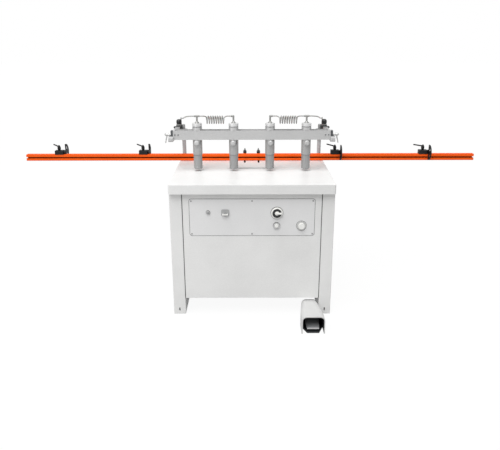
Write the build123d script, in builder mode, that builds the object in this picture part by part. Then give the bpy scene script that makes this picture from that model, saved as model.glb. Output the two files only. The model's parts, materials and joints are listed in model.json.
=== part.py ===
from build123d import *
import math
import os

# A multi-spindle boring machine for furniture panels, in millimetres.
# The origin is on the floor at the centre of the four anchor holes.
# +X is to the operator's right, +Y is to the back and +Z is up.

os.makedirs("parts", exist_ok=True)

# Fits between pieces
running_gap = 0.05
turning_gap = 0.1
sliding_gap = 0.3
screw_gap = 0.1

# Table
table_height = 900
table_length = 1046
table_depth = 860
table_skirt_height = 60
table_skirt_width = 40
table_plate = 15
table_corner = 12
table_edge_break = 1.5

# Side frames
frame_width = 78
frame_setback = 30
frame_wall = 3
frame_fold = 4
foot_plate = 10
anchor_hole_radius = 7
anchor_setback = 80
frame_window_setback = 100
frame_window_low = 120
frame_window_high = 480
frame_window_corner = 30
level_slot_width = 8
level_slot_height = 24
level_slot_middle = 35

# Panels, rails and control plate
panel_seam = 5
panel_inset = 2
panel_sheet = 2
panel_bottom = 117
panel_top_seam = 4
rail_side = 40
rail_wall = 3
control_length = 794
control_height = 242
control_drop = 160
control_corner = 15
control_sheet = 2
control_screw_margin = 12
panel_screw_radius = 2.5
panel_screw_head_radius = 5
panel_screw_head = 2.5
panel_screw_round = 1.2
panel_screw_slot = 1.2
panel_screw_slot_depth = 1.2
louvre_length = 180
louvre_height = 6
louvre_pitch = 22
louvre_count = 8
louvre_spread = 240
louvre_middle = 560
inlet_height = 190
inlet_length = 16
inlet_radius = 12
cable_inlet_x = 250
cable_inlet_bore = 6
air_inlet_x = 320
air_inlet_bore = 5.75

# Switches, placed on the control plate by their offset from its middle
pilot_x = -279
pilot_lift = 33
pilot_radius = 13
pilot_lens_radius = 9
pilot_depth = 5
pilot_lens_round = 4
selector_x = -170
selector_lift = 32
selector_width = 49
selector_height = 41
selector_corner = 8
selector_depth = 5
selector_dome_radius = 12
selector_dome_depth = 9
selector_dome_round = 3
selector_bar_length = 36
selector_bar_width = 8
selector_bar_proud = 4
selector_bar_drop = 9
main_switch_x = 158
main_switch_lift = 30
main_ring_radius = 38
main_ring_depth = 5
main_disc_radius = 32.5
main_disc_depth = 7
main_pointer_width = 11
main_pointer_depth = 10
main_pointer_margin = 3
main_pointer_round = 2
main_disc_round = 1.8
start_x = 156
start_drop = 54
start_ring_radius = 20.5
start_ring_depth = 8
start_button_radius = 11
start_button_proud = 5
start_button_round = 1.2
start_travel = 4
dial_x = 315
dial_drop = 56
dial_ring_radius = 32
dial_ring_depth = 2
dial_knob_radius = 20
dial_knob_depth = 16
dial_flutes = 24
dial_flute_radius = 1.5
switch_shaft_radius = 4

# Foot switch
pedal_inset = 140
pedal_tuck = 22
pedal_length = 295
pedal_mouth = 113
pedal_width = 146
pedal_rear_width = 104
pedal_height = 118
pedal_flare_height = 112
pedal_rear_height = 96
pedal_hood_wall = 6
pedal_hood_round = 32
pedal_base_height = 8
pedal_base_front_width = 76
pedal_base_taper = 72
pedal_gland_height = 40
pedal_gland_radius = 9
pedal_gland_length = 14
pedal_gland_bore = 3.5
treadle_width = 92
treadle_front_width = 76
treadle_hinge_width = 75
treadle_taper = 95
treadle_shoulder_gap = 5
treadle_thickness = 9
treadle_setback = 18
treadle_front_height = 31
treadle_pin_radius = 4
treadle_pin_setback = 77
treadle_pin_height = 44
treadle_ear = 22

# Boring head and feed
spindle_line = 35
spindle_count = 9
spindle_pitch = 32
gear_teeth = 16
gear_addendum = 1.8
gear_dedendum = 2.6
gear_tip_land = 1.0
gear_root_width = 3.6
gear_face = 20
spindle_radius = 8
chuck_radius = 10
chuck_length = 35
chuck_bevel = 1.5
bit_radius = 4
bit_length = 50
bit_point = 6
bit_tip_radius = 0.5
shank_radius = 5
shank_length = 25
bit_rest_depth = 20
housing_wall = 14
housing_cover = 14
housing_side = 9
housing_gear_gap = 2.5
carrier_thickness = 16
carrier_length = 600
carrier_depth = 90
chuck_seat_gap = 5
feed_cylinder_x = 200
feed_cylinder_radius = 25
feed_cylinder_gap = 10
feed_rod_radius = 8
feed_plate_height = 560
feed_plate_thickness = 20
feed_plate_depth = 190
feed_bracket_height = 60
feed_bracket_thickness = 10
guide_x = 270
guide_rod_radius = 10
guide_bush_radius = 20
guide_bush_length = 80
guide_rod_tail = 40
motor_radius = 60
motor_length = 190
motor_fins = 24
motor_fin_depth = 4
motor_fin_width = 5
motor_fin_margin = 32
motor_bevel = 4
motor_shaft_room = 4
motor_hole_gap = 8
motor_shaft_length = 110
drill_slot_width = 28
drill_slot_overrun = 32

# Columns and hold-down bridge
column_radius = 14
column_inset = 23
column_setback = 60
column_flange_radius = 22
column_flange = 12
column_top_drop = 3
column_neck_radius = 11.5
column_neck_rise = 36
column_neck_round = 7
bridge_lift = 216
beam_line = -40
beam_depth = 60
beam_height = 62
beam_wall = 4
beam_end_wall = 12
arm_width = 30
arm_height = 35
arm_drop = 12
arm_overhang = 20
arm_nose_round = 12
boss_rise = 2
boss_height = 68
boss_radius = 28
lug_thickness = 17
lug_depth = 40
lug_step = 4
clamp_rise = 31
clamp_screw_radius = 6
clamp_hub_gap = 5
clamp_hub_radius = 10
clamp_hub_length = 16
clamp_tip_radius = 5
clamp_tip_length = 8
tommy_bar_radius = 4
tommy_bar_drop = 53
tommy_bar_lean = 12

# Pressers
presser_inner = 121.5
presser_outer = 364
neck_gap = 1
sleeve_radius = 31.5
sleeve_length = 102
sleeve_crown = 6
ram_radius = 28.8
ram_rest_height = 18
ram_engaged = 46
ram_edge = 2
ram_wall = 4
ram_foot = 12
cap_radius = 32.5
cap_height = 45
cap_groove_height = 23
cap_groove_width = 4
cap_groove_depth = 2.5
cap_round = 2
clamp_knob_drop = 20
clamp_knob_offset = 3
clamp_knob_radius = 17
clamp_knob_depth = 11
clamp_knob_dome = 9
clamp_knob_boss = 3
clamp_knob_boss_radius = 12
clamp_shank_radius = 5
split_offset = 18
split_width = 3
split_height = 26

# Regulators, air fittings and hoses
regulator_offset = 33
regulator_width = 42
regulator_depth = 60
regulator_height = 29
regulator_corner = 8
regulator_edge = 3
regulator_stem_radius = 6
regulator_stem = 20
regulator_knob_radius = 19.5
regulator_knob_height = 35
regulator_knob_dome = 16
regulator_knob_foot = 8
regulator_knob_flutes = 20
regulator_flute_radius = 1.6
collar_radius = 20
collar_height = 8
port_inset_x = 13
port_inset_y = 24
port_radius = 5.5
port_height = 3
port_run = 16
tee_run = 25
gauge_radius = 8.5
gauge_gap = 0.5
gauge_depth = 14
gauge_stub_radius = 4
fitting_flare_radius = 16.5
fitting_flare = 14
fitting_stem_radius = 6
fitting_height = 46
fitting_arm_radius = 6.5
fitting_reach = 15
hose_radius = 4
coil_radius = 24
coil_turns = 8
coil_pitch = 15.4
coil_lead = 12
coil_gap_samples = 40

# Fence and its carriage
fence_length = 3275
fence_offset = -12
fence_front = 276
fence_depth = 40
fence_height = 45
fence_lift = 2
fence_corner = 1.5
fence_groove = 11
fence_groove_depth = 28
fence_core = 24
fence_core_height = 8
fence_core_wall = 4
top_slot = 8
top_slot_neck = 4
top_slot_head = 14
top_slot_room = 6
carriage_length = 160
carriage_depth = 50
carriage_height = 36.7
carriage_corner = 6
carriage_bevel = 1.5
fence_stud_x = 50
fence_stud_inset = 22
fence_stud_radius = 6
fence_stud_rise = 24
fence_nut_radius = 12
fence_nut_height = 14
fence_slot_gap = 0.5
fence_back_travel = 12
fence_front_travel = 120
fence_hub_foot = 8
fence_hub_radius = 12
fence_hub_belly = 22
fence_hub_crown = 4.5
fence_hub_height = 34
fence_handle_length = 66
fence_handle_root = 6
fence_handle_tip = 3.5
fence_handle_rise = 6
fence_handle_turn = 90

# Flip stops
stop_1_inset = 240.5
stop_2_inset = 854.5
stop_3_inset = 1017.5
stop_4_inset = 373.5
stop_block_left = 29
stop_block_right = 33
stop_block_depth = 44
stop_block_height = 28
stop_block_corner = 3
stop_block_bevel = 1.5
stop_stud_radius = 5
stop_stud_rise = 22
stop_shoulder_radius = 8
stop_pin_radius = 5
stop_pin_head = 3
stop_arm_spacing = 3
stop_arm_thickness = 8
stop_arm_gap = 1
stop_arm_half = 55
stop_arm_reach = 83
stop_arm_rim = 10
stop_web_half = 14
stop_hub_foot = 8
stop_hub_radius = 12
stop_hub_belly = 18
stop_hub_crown = 4.5
stop_hub_height = 37
stop_handle_length = 65
stop_handle_root = 5
stop_handle_tip = 4.5
stop_handle_rise = 7
stop_1_lever_turn = 140
stop_2_lever_turn = 139
stop_3_lever_turn = 144
stop_4_lever_turn = 165

# Derived places of the body
half_table = table_length / 2
half_depth = table_depth / 2
frame_top = table_height - table_skirt_height
frame_inner = half_table - frame_width
frame_front = half_depth - frame_setback
anchor_x = half_table - frame_width / 2
anchor_y = frame_front - anchor_setback
panel_half = frame_inner - panel_seam
panel_face = frame_front - panel_inset
panel_back = panel_face - panel_sheet
panel_top = frame_top - panel_top_seam
control_middle = frame_top - control_drop
control_face = -(panel_face + control_sheet)
pedal_x = half_table - pedal_inset
pedal_back = pedal_tuck - frame_front
pedal_front = pedal_back - pedal_length
pedal_flare = pedal_front + pedal_mouth
treadle_pin_y = pedal_back - treadle_pin_setback
drill_slot_length = (spindle_count - 1) * spindle_pitch + 2 * drill_slot_overrun

HEADINGS = {"x": (1, 0, 0), "y": (0, 1, 0), "z": (0, 0, 1)}
FROM_START = (Align.CENTER, Align.CENTER, Align.MIN)
SIDES = {"left": -1, "right": 1}


def keep(builder, name):
    """Label a finished piece and write its STEP file."""
    builder.part.label = name
    export_step(builder.part, f"parts/{name}.step")


def keep_group(name, *builders):
    """Write several solids that touch without being fused as one node."""
    group = Compound([solid for builder in builders for solid in builder.part.solids()])
    group.label = name
    export_step(group, f"parts/{name}.step")


def slab(x_range, y_range, z_range, mode=Mode.ADD):
    """A box between lowest and highest coordinates, in the part that is being built."""
    ranges = (x_range, y_range, z_range)
    with Locations(tuple(sum(ends) / 2 for ends in ranges)):
        Box(*[max(ends) - min(ends) for ends in ranges], mode=mode)


def rod(axis, start, radius, length, mode=Mode.ADD):
    """A cylinder from its start point along +X, +Y or +Z."""
    with Locations(Plane(start, z_dir=HEADINGS[axis])):
        Cylinder(radius, length, align=FROM_START, mode=mode)


def both_ways(half):
    """A range that is centred on zero."""
    return (-half, half)


# Table top: a plate with a skirt, a drilling slot and two fence slots
fence_stud_y = fence_front + fence_depth + fence_stud_inset
fence_slot_width = 2 * (fence_stud_radius + fence_slot_gap)
fence_slot_front = fence_stud_y - fence_front_travel - fence_slot_width / 2 - fence_slot_gap
fence_slot_back = fence_stud_y + fence_back_travel + fence_slot_width / 2 + fence_slot_gap

with BuildPart() as table_top:
    slab(both_ways(half_table), both_ways(half_depth), (frame_top, table_height))
    fillet(table_top.edges().filter_by(Axis.Z), table_corner)
    chamfer(table_top.faces().sort_by(Axis.Z)[-1].edges(), table_edge_break)
    slab(
        both_ways(half_table - frame_width),
        both_ways(half_depth - table_skirt_width),
        (frame_top, table_height - table_plate),
        mode=Mode.SUBTRACT,
    )
    with BuildSketch(Plane.XY.offset(table_height)):
        with Locations((0, spindle_line)):
            SlotOverall(drill_slot_length, drill_slot_width)
        for slot_x in both_ways(fence_stud_x):
            with Locations((slot_x, (fence_slot_front + fence_slot_back) / 2)):
                SlotOverall(fence_slot_back - fence_slot_front, fence_slot_width, rotation=90)
    extrude(amount=-table_plate, mode=Mode.SUBTRACT)
keep(table_top, "table_top")

# Side frames: folded sheet boxes on thick foot plates, open to the inside through a window
for side_name, side in SIDES.items():
    with BuildPart() as side_frame:
        slab((frame_inner, half_table), both_ways(frame_front), (0, frame_top))
        fillet(side_frame.edges().filter_by(Axis.Z).group_by(Axis.X)[-1], frame_fold)
        slab(
            (frame_inner + frame_wall, half_table - frame_wall),
            both_ways(frame_front - frame_wall),
            (foot_plate, frame_top - frame_wall),
            mode=Mode.SUBTRACT,
        )
        window_height = frame_window_high - frame_window_low
        with BuildSketch(Plane.YZ.offset(frame_inner)):
            with Locations((0, frame_window_low + window_height / 2)):
                RectangleRounded(
                    2 * (frame_front - frame_window_setback), window_height, frame_window_corner
                )
        extrude(amount=frame_wall, mode=Mode.SUBTRACT)
        with BuildSketch(Plane.XZ.offset(frame_front)):
            with Locations((anchor_x, level_slot_middle)):
                SlotOverall(level_slot_height, level_slot_width, rotation=90)
        extrude(amount=-frame_wall, mode=Mode.SUBTRACT)
        for hole_y in both_ways(anchor_y):
            rod("z", (anchor_x, hole_y, 0), anchor_hole_radius, foot_plate, mode=Mode.SUBTRACT)
        if side < 0:
            mirror(about=Plane.YZ, mode=Mode.REPLACE)
    keep(side_frame, f"side_frame_{side_name}")

# Rails: square tubes that tie the side frames together and carry the panels
with BuildPart() as frame_rails:
    for rail_y in both_ways(panel_back - rail_side / 2):
        for rail_z in (panel_bottom + rail_side / 2, panel_top - rail_side / 2):
            with BuildSketch(Plane.YZ.offset(-frame_inner)):
                with Locations((rail_y, rail_z)):
                    Rectangle(rail_side, rail_side)
                    Rectangle(rail_side - 2 * rail_wall, rail_side - 2 * rail_wall, mode=Mode.SUBTRACT)
            extrude(amount=2 * frame_inner)
keep(frame_rails, "frame_rails")

# Front panel, control plate and the screws that hold the plate
screw_rows = both_ways(control_height / 2 - control_screw_margin)
screw_columns = (-1, 0, 1)
screw_places = [
    (column * (control_length / 2 - control_screw_margin), control_middle + row)
    for column in screw_columns
    for row in screw_rows
]

with BuildPart() as front_panel:
    slab(both_ways(panel_half), (-panel_face, -panel_back), (panel_bottom, panel_top))
    for screw_x, screw_z in screw_places:
        hole_start = (screw_x, -panel_face, screw_z)
        rod("y", hole_start, panel_screw_radius + screw_gap, panel_sheet, mode=Mode.SUBTRACT)
keep(front_panel, "front_panel")

with BuildPart() as control_panel:
    with BuildSketch(Plane.XZ.offset(panel_face)):
        with Locations((0, control_middle)):
            RectangleRounded(control_length, control_height, control_corner)
        with Locations(screw_places):
            Circle(panel_screw_radius + screw_gap, mode=Mode.SUBTRACT)
    extrude(amount=control_sheet)
keep(control_panel, "control_panel")

with BuildPart() as panel_screws:
    for screw_x, screw_z in screw_places:
        head_start = (screw_x, control_face - panel_screw_head, screw_z)
        rod("y", head_start, panel_screw_head_radius, panel_screw_head)
        rod("y", head_start, panel_screw_radius, panel_screw_head + control_sheet + panel_sheet)
    head_fronts = panel_screws.faces().filter_by(Axis.Y).group_by(Axis.Y)[0]
    fillet(head_fronts.edges(), panel_screw_round)
    for screw_x, screw_z in screw_places:
        slab(
            (screw_x - panel_screw_head_radius, screw_x + panel_screw_head_radius),
            (control_face - panel_screw_head, control_face - panel_screw_head + panel_screw_slot_depth),
            (screw_z - panel_screw_slot / 2, screw_z + panel_screw_slot / 2),
            mode=Mode.SUBTRACT,
        )
keep(panel_screws, "panel_screws")

# Rear panel with louvres, a cable gland and a compressed-air inlet
with BuildPart() as rear_panel:
    slab(both_ways(panel_half), (panel_back, panel_face), (panel_bottom, panel_top))
    for louvre_x in both_ways(louvre_spread):
        for row in range(louvre_count):
            louvre_z = louvre_middle + (row - (louvre_count - 1) / 2) * louvre_pitch
            with BuildSketch(Plane.XZ.offset(-panel_face)):
                with Locations((louvre_x, louvre_z)):
                    SlotOverall(louvre_length, louvre_height)
            extrude(amount=panel_sheet, mode=Mode.SUBTRACT)
    for inlet_x, inlet_bore in ((cable_inlet_x, cable_inlet_bore), (air_inlet_x, air_inlet_bore)):
        rod("y", (inlet_x, panel_face, inlet_height), inlet_radius, inlet_length)
        bore_start = (inlet_x, panel_back, inlet_height)
        rod("y", bore_start, inlet_bore, panel_sheet + inlet_length, mode=Mode.SUBTRACT)
keep(rear_panel, "rear_panel")

# Switches: fixed bezels, then the pieces that the hand turns or presses
pilot_z = control_middle + pilot_lift
selector_z = control_middle + selector_lift
selector_pivot_z = selector_z - selector_bar_drop
main_switch_z = control_middle + main_switch_lift
start_z = control_middle - start_drop
dial_z = control_middle - dial_drop
shaft_bore = switch_shaft_radius + turning_gap


def before_plate(x, z, depth):
    """A point that stands out from the control plate by a depth."""
    return (x, control_face - depth, z)


with BuildPart() as switch_bezels:
    rod("y", before_plate(pilot_x, pilot_z, 2 * pilot_depth), pilot_lens_radius, 2 * pilot_depth)
    fillet(switch_bezels.faces().sort_by(Axis.Y)[0].edges(), pilot_lens_round)
    rod("y", before_plate(pilot_x, pilot_z, pilot_depth), pilot_radius, pilot_depth)
    with BuildSketch(Plane.XZ.offset(-control_face)):
        with Locations((selector_x, selector_z)):
            RectangleRounded(selector_width, selector_height, selector_corner)
    extrude(amount=selector_depth)
    with BuildSketch(Plane.XZ.offset(-control_face)):
        with Locations((selector_x, selector_pivot_z)):
            Circle(shaft_bore)
    extrude(amount=selector_depth, mode=Mode.SUBTRACT)
    for ring_x, ring_z, ring_radius, ring_depth, ring_bore in (
        (main_switch_x, main_switch_z, main_ring_radius, main_ring_depth, shaft_bore),
        (start_x, start_z, start_ring_radius, start_ring_depth, start_button_radius + sliding_gap),
        (dial_x, dial_z, dial_ring_radius, dial_ring_depth, shaft_bore),
    ):
        ring_start = before_plate(ring_x, ring_z, ring_depth)
        rod("y", ring_start, ring_radius, ring_depth)
        rod("y", ring_start, ring_bore, ring_depth, mode=Mode.SUBTRACT)
keep(switch_bezels, "switch_bezels")

with BuildPart() as main_switch_handle:
    disc_back = main_ring_depth + sliding_gap
    disc_front = disc_back + main_disc_depth
    rod("y", before_plate(main_switch_x, main_switch_z, disc_front), main_disc_radius, main_disc_depth)
    fillet(main_switch_handle.faces().sort_by(Axis.Y)[0].edges(), main_disc_round)
    slab(
        (main_switch_x - main_pointer_width / 2, main_switch_x + main_disc_radius - main_pointer_margin),
        (control_face - disc_front - main_pointer_depth, control_face - disc_front),
        (main_switch_z - main_pointer_width / 2, main_switch_z + main_pointer_width / 2),
    )
    pointer_front = main_switch_handle.faces().sort_by(Axis.Y)[0]
    fillet(pointer_front.edges(), main_pointer_round)
    rod("y", before_plate(main_switch_x, main_switch_z, disc_back), switch_shaft_radius, disc_back)
keep(main_switch_handle, "main_switch_handle")

with BuildPart() as start_button:
    button_front = start_ring_depth + start_button_proud
    button_length = button_front - start_travel - sliding_gap
    rod("y", before_plate(start_x, start_z, button_front), start_button_radius, button_length)
    fillet(start_button.faces().sort_by(Axis.Y)[0].edges(), start_button_round)
keep(start_button, "start_button")

with BuildPart() as selector_knob:
    selector_back = selector_depth + sliding_gap
    selector_front = selector_back + selector_dome_depth
    knob_start = before_plate(selector_x, selector_pivot_z, selector_front)
    rod("y", knob_start, selector_dome_radius, selector_dome_depth)
    fillet(selector_knob.faces().sort_by(Axis.Y)[0].edges(), selector_dome_round)
    slab(
        (selector_x - selector_bar_length / 2, selector_x + selector_bar_length / 2),
        (control_face - selector_front - selector_bar_proud, control_face - selector_back),
        (selector_pivot_z - selector_bar_width / 2, selector_pivot_z + selector_bar_width / 2),
    )
    shaft_start = before_plate(selector_x, selector_pivot_z, selector_back)
    rod("y", shaft_start, switch_shaft_radius, selector_back)
keep(selector_knob, "selector_knob")

with BuildPart() as dial_knob:
    dial_back = dial_ring_depth + sliding_gap
    dial_start = before_plate(dial_x, dial_z, dial_back + dial_knob_depth)
    rod("y", dial_start, dial_knob_radius, dial_knob_depth)
    chamfer(dial_knob.faces().sort_by(Axis.Y)[0].edges(), dial_flute_radius)
    with BuildSketch(Plane.XZ.offset(-control_face + dial_back)):
        with Locations((dial_x, dial_z)):
            with PolarLocations(dial_knob_radius, dial_flutes):
                Circle(dial_flute_radius)
    extrude(amount=dial_knob_depth, mode=Mode.SUBTRACT)
    rod("y", before_plate(dial_x, dial_z, dial_back), switch_shaft_radius, dial_back)
keep(dial_knob, "dial_knob")

# Foot switch: a flared hood round a base of the same plan, with the treadle hinged on the base
hood_sections = (
    (pedal_back, pedal_rear_width, pedal_rear_height),
    (pedal_flare, pedal_width, pedal_flare_height),
    (pedal_front, pedal_width, pedal_height),
)


def hood_outline(plane_y, width, height, wall):
    """A section of the hood with rounded shoulders, drawn inside by the wall."""
    with BuildSketch(Plane.XZ.offset(-plane_y)) as section:
        with Locations((pedal_x, 0)):
            Rectangle(width - 2 * wall, height - wall, align=(Align.CENTER, Align.MIN))
        fillet(section.vertices().group_by(Axis.Y)[-1], pedal_hood_round - wall)
    return section.sketch


with BuildPart() as foot_switch_hood:
    loft([hood_outline(*section, wall=0) for section in hood_sections], ruled=True)
    hollow_back = (pedal_back - pedal_hood_wall, *hood_sections[0][1:])
    hollow_sections = (hollow_back, *hood_sections[1:])
    loft(
        [hood_outline(*section, wall=pedal_hood_wall) for section in hollow_sections],
        ruled=True,
        mode=Mode.SUBTRACT,
    )
    gland_start = (pedal_x, pedal_back - pedal_hood_wall, pedal_gland_height)
    rod("y", (pedal_x, pedal_back, pedal_gland_height), pedal_gland_radius, pedal_gland_length)
    gland_depth = pedal_hood_wall + pedal_gland_length
    rod("y", gland_start, pedal_gland_bore, gland_depth, mode=Mode.SUBTRACT)
keep(foot_switch_hood, "foot_switch_hood")

base_half = pedal_rear_width / 2 - pedal_hood_wall - sliding_gap
ear_inner = treadle_hinge_width / 2 + turning_gap + sliding_gap
ear_front = treadle_pin_y - treadle_ear / 2

with BuildPart() as foot_switch_base:
    base_front = pedal_front + treadle_setback / 2
    base_back = pedal_back - pedal_hood_wall - sliding_gap
    base_wide_half = pedal_width / 2 - pedal_hood_wall - sliding_gap
    with BuildSketch():
        with BuildLine():
            Polyline(
                (pedal_x, base_front),
                (pedal_x + pedal_base_front_width / 2, base_front),
                (pedal_x + base_wide_half, base_front + pedal_base_taper),
                (pedal_x + base_wide_half, pedal_flare),
                (pedal_x + base_half, base_back),
                (pedal_x, base_back),
                close=True,
            )
        make_face()
        mirror(about=Plane.YZ.offset(pedal_x))
    extrude(amount=pedal_base_height)
    for ear_side in SIDES.values():
        slab(
            (pedal_x + ear_side * ear_inner, pedal_x + ear_side * base_half),
            (ear_front, treadle_pin_y + treadle_ear / 2),
            (0, treadle_pin_height + treadle_ear / 2),
        )
    rod("x", (pedal_x - base_half, treadle_pin_y, treadle_pin_height), treadle_pin_radius, 2 * base_half)
keep(foot_switch_base, "foot_switch_base")

with BuildPart() as foot_treadle:
    treadle_front = pedal_front + treadle_setback
    treadle_back = treadle_pin_y + treadle_ear / 2
    treadle_shoulder = ear_front - treadle_shoulder_gap
    with BuildSketch(Plane.YZ.offset(pedal_x - treadle_width / 2)):
        with BuildLine():
            Polyline(
                (treadle_front, treadle_front_height - treadle_thickness),
                (treadle_front, treadle_front_height),
                (treadle_pin_y, treadle_pin_height + treadle_thickness / 2),
                (treadle_pin_y, treadle_pin_height - treadle_thickness / 2),
                close=True,
            )
        make_face()
        with Locations((treadle_pin_y, treadle_pin_height)):
            Circle(treadle_ear / 2 - sliding_gap)
            Circle(treadle_pin_radius + turning_gap, mode=Mode.SUBTRACT)
    extrude(amount=treadle_width)
    with BuildSketch():
        with BuildLine():
            Polyline(
                (pedal_x, treadle_front),
                (pedal_x + treadle_front_width / 2, treadle_front),
                (pedal_x + treadle_width / 2, treadle_front + treadle_taper),
                (pedal_x + treadle_width / 2, treadle_shoulder),
                (pedal_x + treadle_hinge_width / 2, treadle_shoulder),
                (pedal_x + treadle_hinge_width / 2, treadle_back),
                (pedal_x, treadle_back),
                close=True,
            )
        make_face()
        mirror(about=Plane.YZ.offset(pedal_x))
    extrude(amount=treadle_pin_height + treadle_ear, mode=Mode.INTERSECT)
keep(foot_treadle, "foot_treadle")

# Boring head: spindles with meshing gears in a housing on a carrier plate
bit_tip = table_height - bit_rest_depth
chuck_top = bit_tip - bit_length
chuck_bottom = chuck_top - chuck_length
cover_top = chuck_bottom - chuck_seat_gap
cover_bottom = cover_top - housing_cover
gear_top = cover_bottom - housing_gear_gap
gear_bottom = gear_top - gear_face
cavity_bottom = gear_bottom - housing_gear_gap
housing_bottom = cavity_bottom - housing_wall
carrier_bottom = housing_bottom - carrier_thickness
gear_tip_radius = spindle_pitch / 2 + gear_addendum
gear_root_radius = spindle_pitch / 2 - gear_dedendum
cavity_half = gear_tip_radius + housing_gear_gap
housing_half_depth = cavity_half + housing_side
spindle_reach = (spindle_count - 1) / 2 * spindle_pitch
middle_spindle = (spindle_count - 1) // 2
spindle_places = [index * spindle_pitch - spindle_reach for index in range(spindle_count)]
spindle_bore = spindle_radius + running_gap
feed_plate_top = feed_plate_height + feed_plate_thickness
feed_rod_bottom = feed_plate_top + feed_cylinder_gap


def on_spindle_line(half):
    """A range of Y that is centred on the line of spindles."""
    return (spindle_line - half, spindle_line + half)


with BuildPart() as head_housing:
    with BuildSketch(Plane.XY.offset(housing_bottom)):
        with Locations((0, spindle_line)):
            SlotOverall(2 * (spindle_reach + housing_half_depth), 2 * housing_half_depth)
    extrude(amount=cover_bottom - housing_bottom)
    with BuildSketch(Plane.XY.offset(cavity_bottom)):
        with Locations((0, spindle_line)):
            SlotOverall(2 * (spindle_reach + cavity_half), 2 * cavity_half)
    extrude(amount=cover_bottom - cavity_bottom, mode=Mode.SUBTRACT)
    for spindle_x in spindle_places:
        bore_start = (spindle_x, spindle_line, housing_bottom)
        rod("z", bore_start, spindle_bore, housing_wall, mode=Mode.SUBTRACT)

with BuildPart() as head_cover:
    with BuildSketch(Plane.XY.offset(cover_bottom)):
        with Locations((0, spindle_line)):
            SlotOverall(2 * (spindle_reach + housing_half_depth), 2 * housing_half_depth)
        with Locations([(spindle_x, spindle_line) for spindle_x in spindle_places]):
            Circle(spindle_bore, mode=Mode.SUBTRACT)
    extrude(amount=housing_cover)

with BuildPart() as head_carrier:
    slab(
        both_ways(carrier_length / 2),
        on_spindle_line(carrier_depth / 2),
        (carrier_bottom, housing_bottom),
    )
    rod("z", (0, spindle_line, carrier_bottom), spindle_bore, carrier_thickness, mode=Mode.SUBTRACT)
    for rod_side in SIDES.values():
        feed_start = (rod_side * feed_cylinder_x, spindle_line, feed_rod_bottom)
        rod("z", feed_start, feed_rod_radius, carrier_bottom - feed_rod_bottom)
        guide_bottom = feed_plate_height - guide_bush_length / 2 - guide_rod_tail
        guide_start = (rod_side * guide_x, spindle_line, guide_bottom)
        rod("z", guide_start, guide_rod_radius, carrier_bottom - guide_bottom)
keep_group("boring_head", head_housing, head_cover, head_carrier)

with BuildPart() as drive_motor:
    motor_bottom = carrier_bottom - motor_length
    rod("z", (0, spindle_line, motor_bottom), motor_radius, motor_length)
    chamfer(drive_motor.faces().sort_by(Axis.Z)[0].edges(), motor_bevel)
    fin_low = motor_bottom + motor_fin_margin
    with BuildSketch(Plane.XY.offset(fin_low)):
        with Locations((0, spindle_line)):
            with PolarLocations(motor_radius, motor_fins):
                Rectangle(2 * motor_fin_depth, motor_fin_width)
    extrude(amount=motor_length - 2 * motor_fin_margin, mode=Mode.SUBTRACT)
    shaft_room = motor_shaft_length + motor_shaft_room
    bore_start = (0, spindle_line, carrier_bottom - shaft_room)
    rod("z", bore_start, spindle_bore, shaft_room, mode=Mode.SUBTRACT)
keep(drive_motor, "drive_motor")


def gear_outline(turn):
    """Corner points of a spur gear with straight-sided teeth, turned by an angle in radians."""
    points = []
    flanks = (
        (gear_root_radius, -gear_root_width / 2),
        (gear_tip_radius, -gear_tip_land / 2),
        (gear_tip_radius, gear_tip_land / 2),
        (gear_root_radius, gear_root_width / 2),
    )
    for tooth in range(gear_teeth):
        for radius, offset in flanks:
            angle = turn + 2 * math.pi * tooth / gear_teeth + offset / radius
            points.append((radius * math.cos(angle), radius * math.sin(angle)))
    return points


for index, spindle_x in enumerate(spindle_places):
    is_middle = index == middle_spindle
    shaft_bottom = housing_bottom + sliding_gap
    if is_middle:
        shaft_bottom = carrier_bottom - motor_shaft_length
    half_tooth = math.pi / gear_teeth
    with BuildPart() as spindle:
        rod("z", (spindle_x, spindle_line, shaft_bottom), spindle_radius, chuck_bottom - shaft_bottom)
        with BuildSketch(Plane((spindle_x, spindle_line, gear_bottom))):
            with BuildLine():
                Polyline(*gear_outline(half_tooth * ((index - middle_spindle) % 2)), close=True)
            make_face()
        extrude(amount=gear_face)
        rod("z", (spindle_x, spindle_line, chuck_bottom), chuck_radius, chuck_length)
        chamfer(spindle.faces().sort_by(Axis.Z)[-1].edges(), chuck_bevel)
        socket_start = (spindle_x, spindle_line, chuck_top - shank_length)
        rod("z", socket_start, shank_radius + running_gap, shank_length, mode=Mode.SUBTRACT)
    with BuildPart() as boring_bit:
        rod("z", socket_start, shank_radius, shank_length)
        rod("z", (spindle_x, spindle_line, chuck_top), bit_radius, bit_length - bit_point)
        with Locations((spindle_x, spindle_line, bit_tip - bit_point)):
            Cone(bit_radius, bit_tip_radius, bit_point, align=FROM_START)
    keep_group(f"spindle_{index + 1}", spindle, boring_bit)

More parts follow.
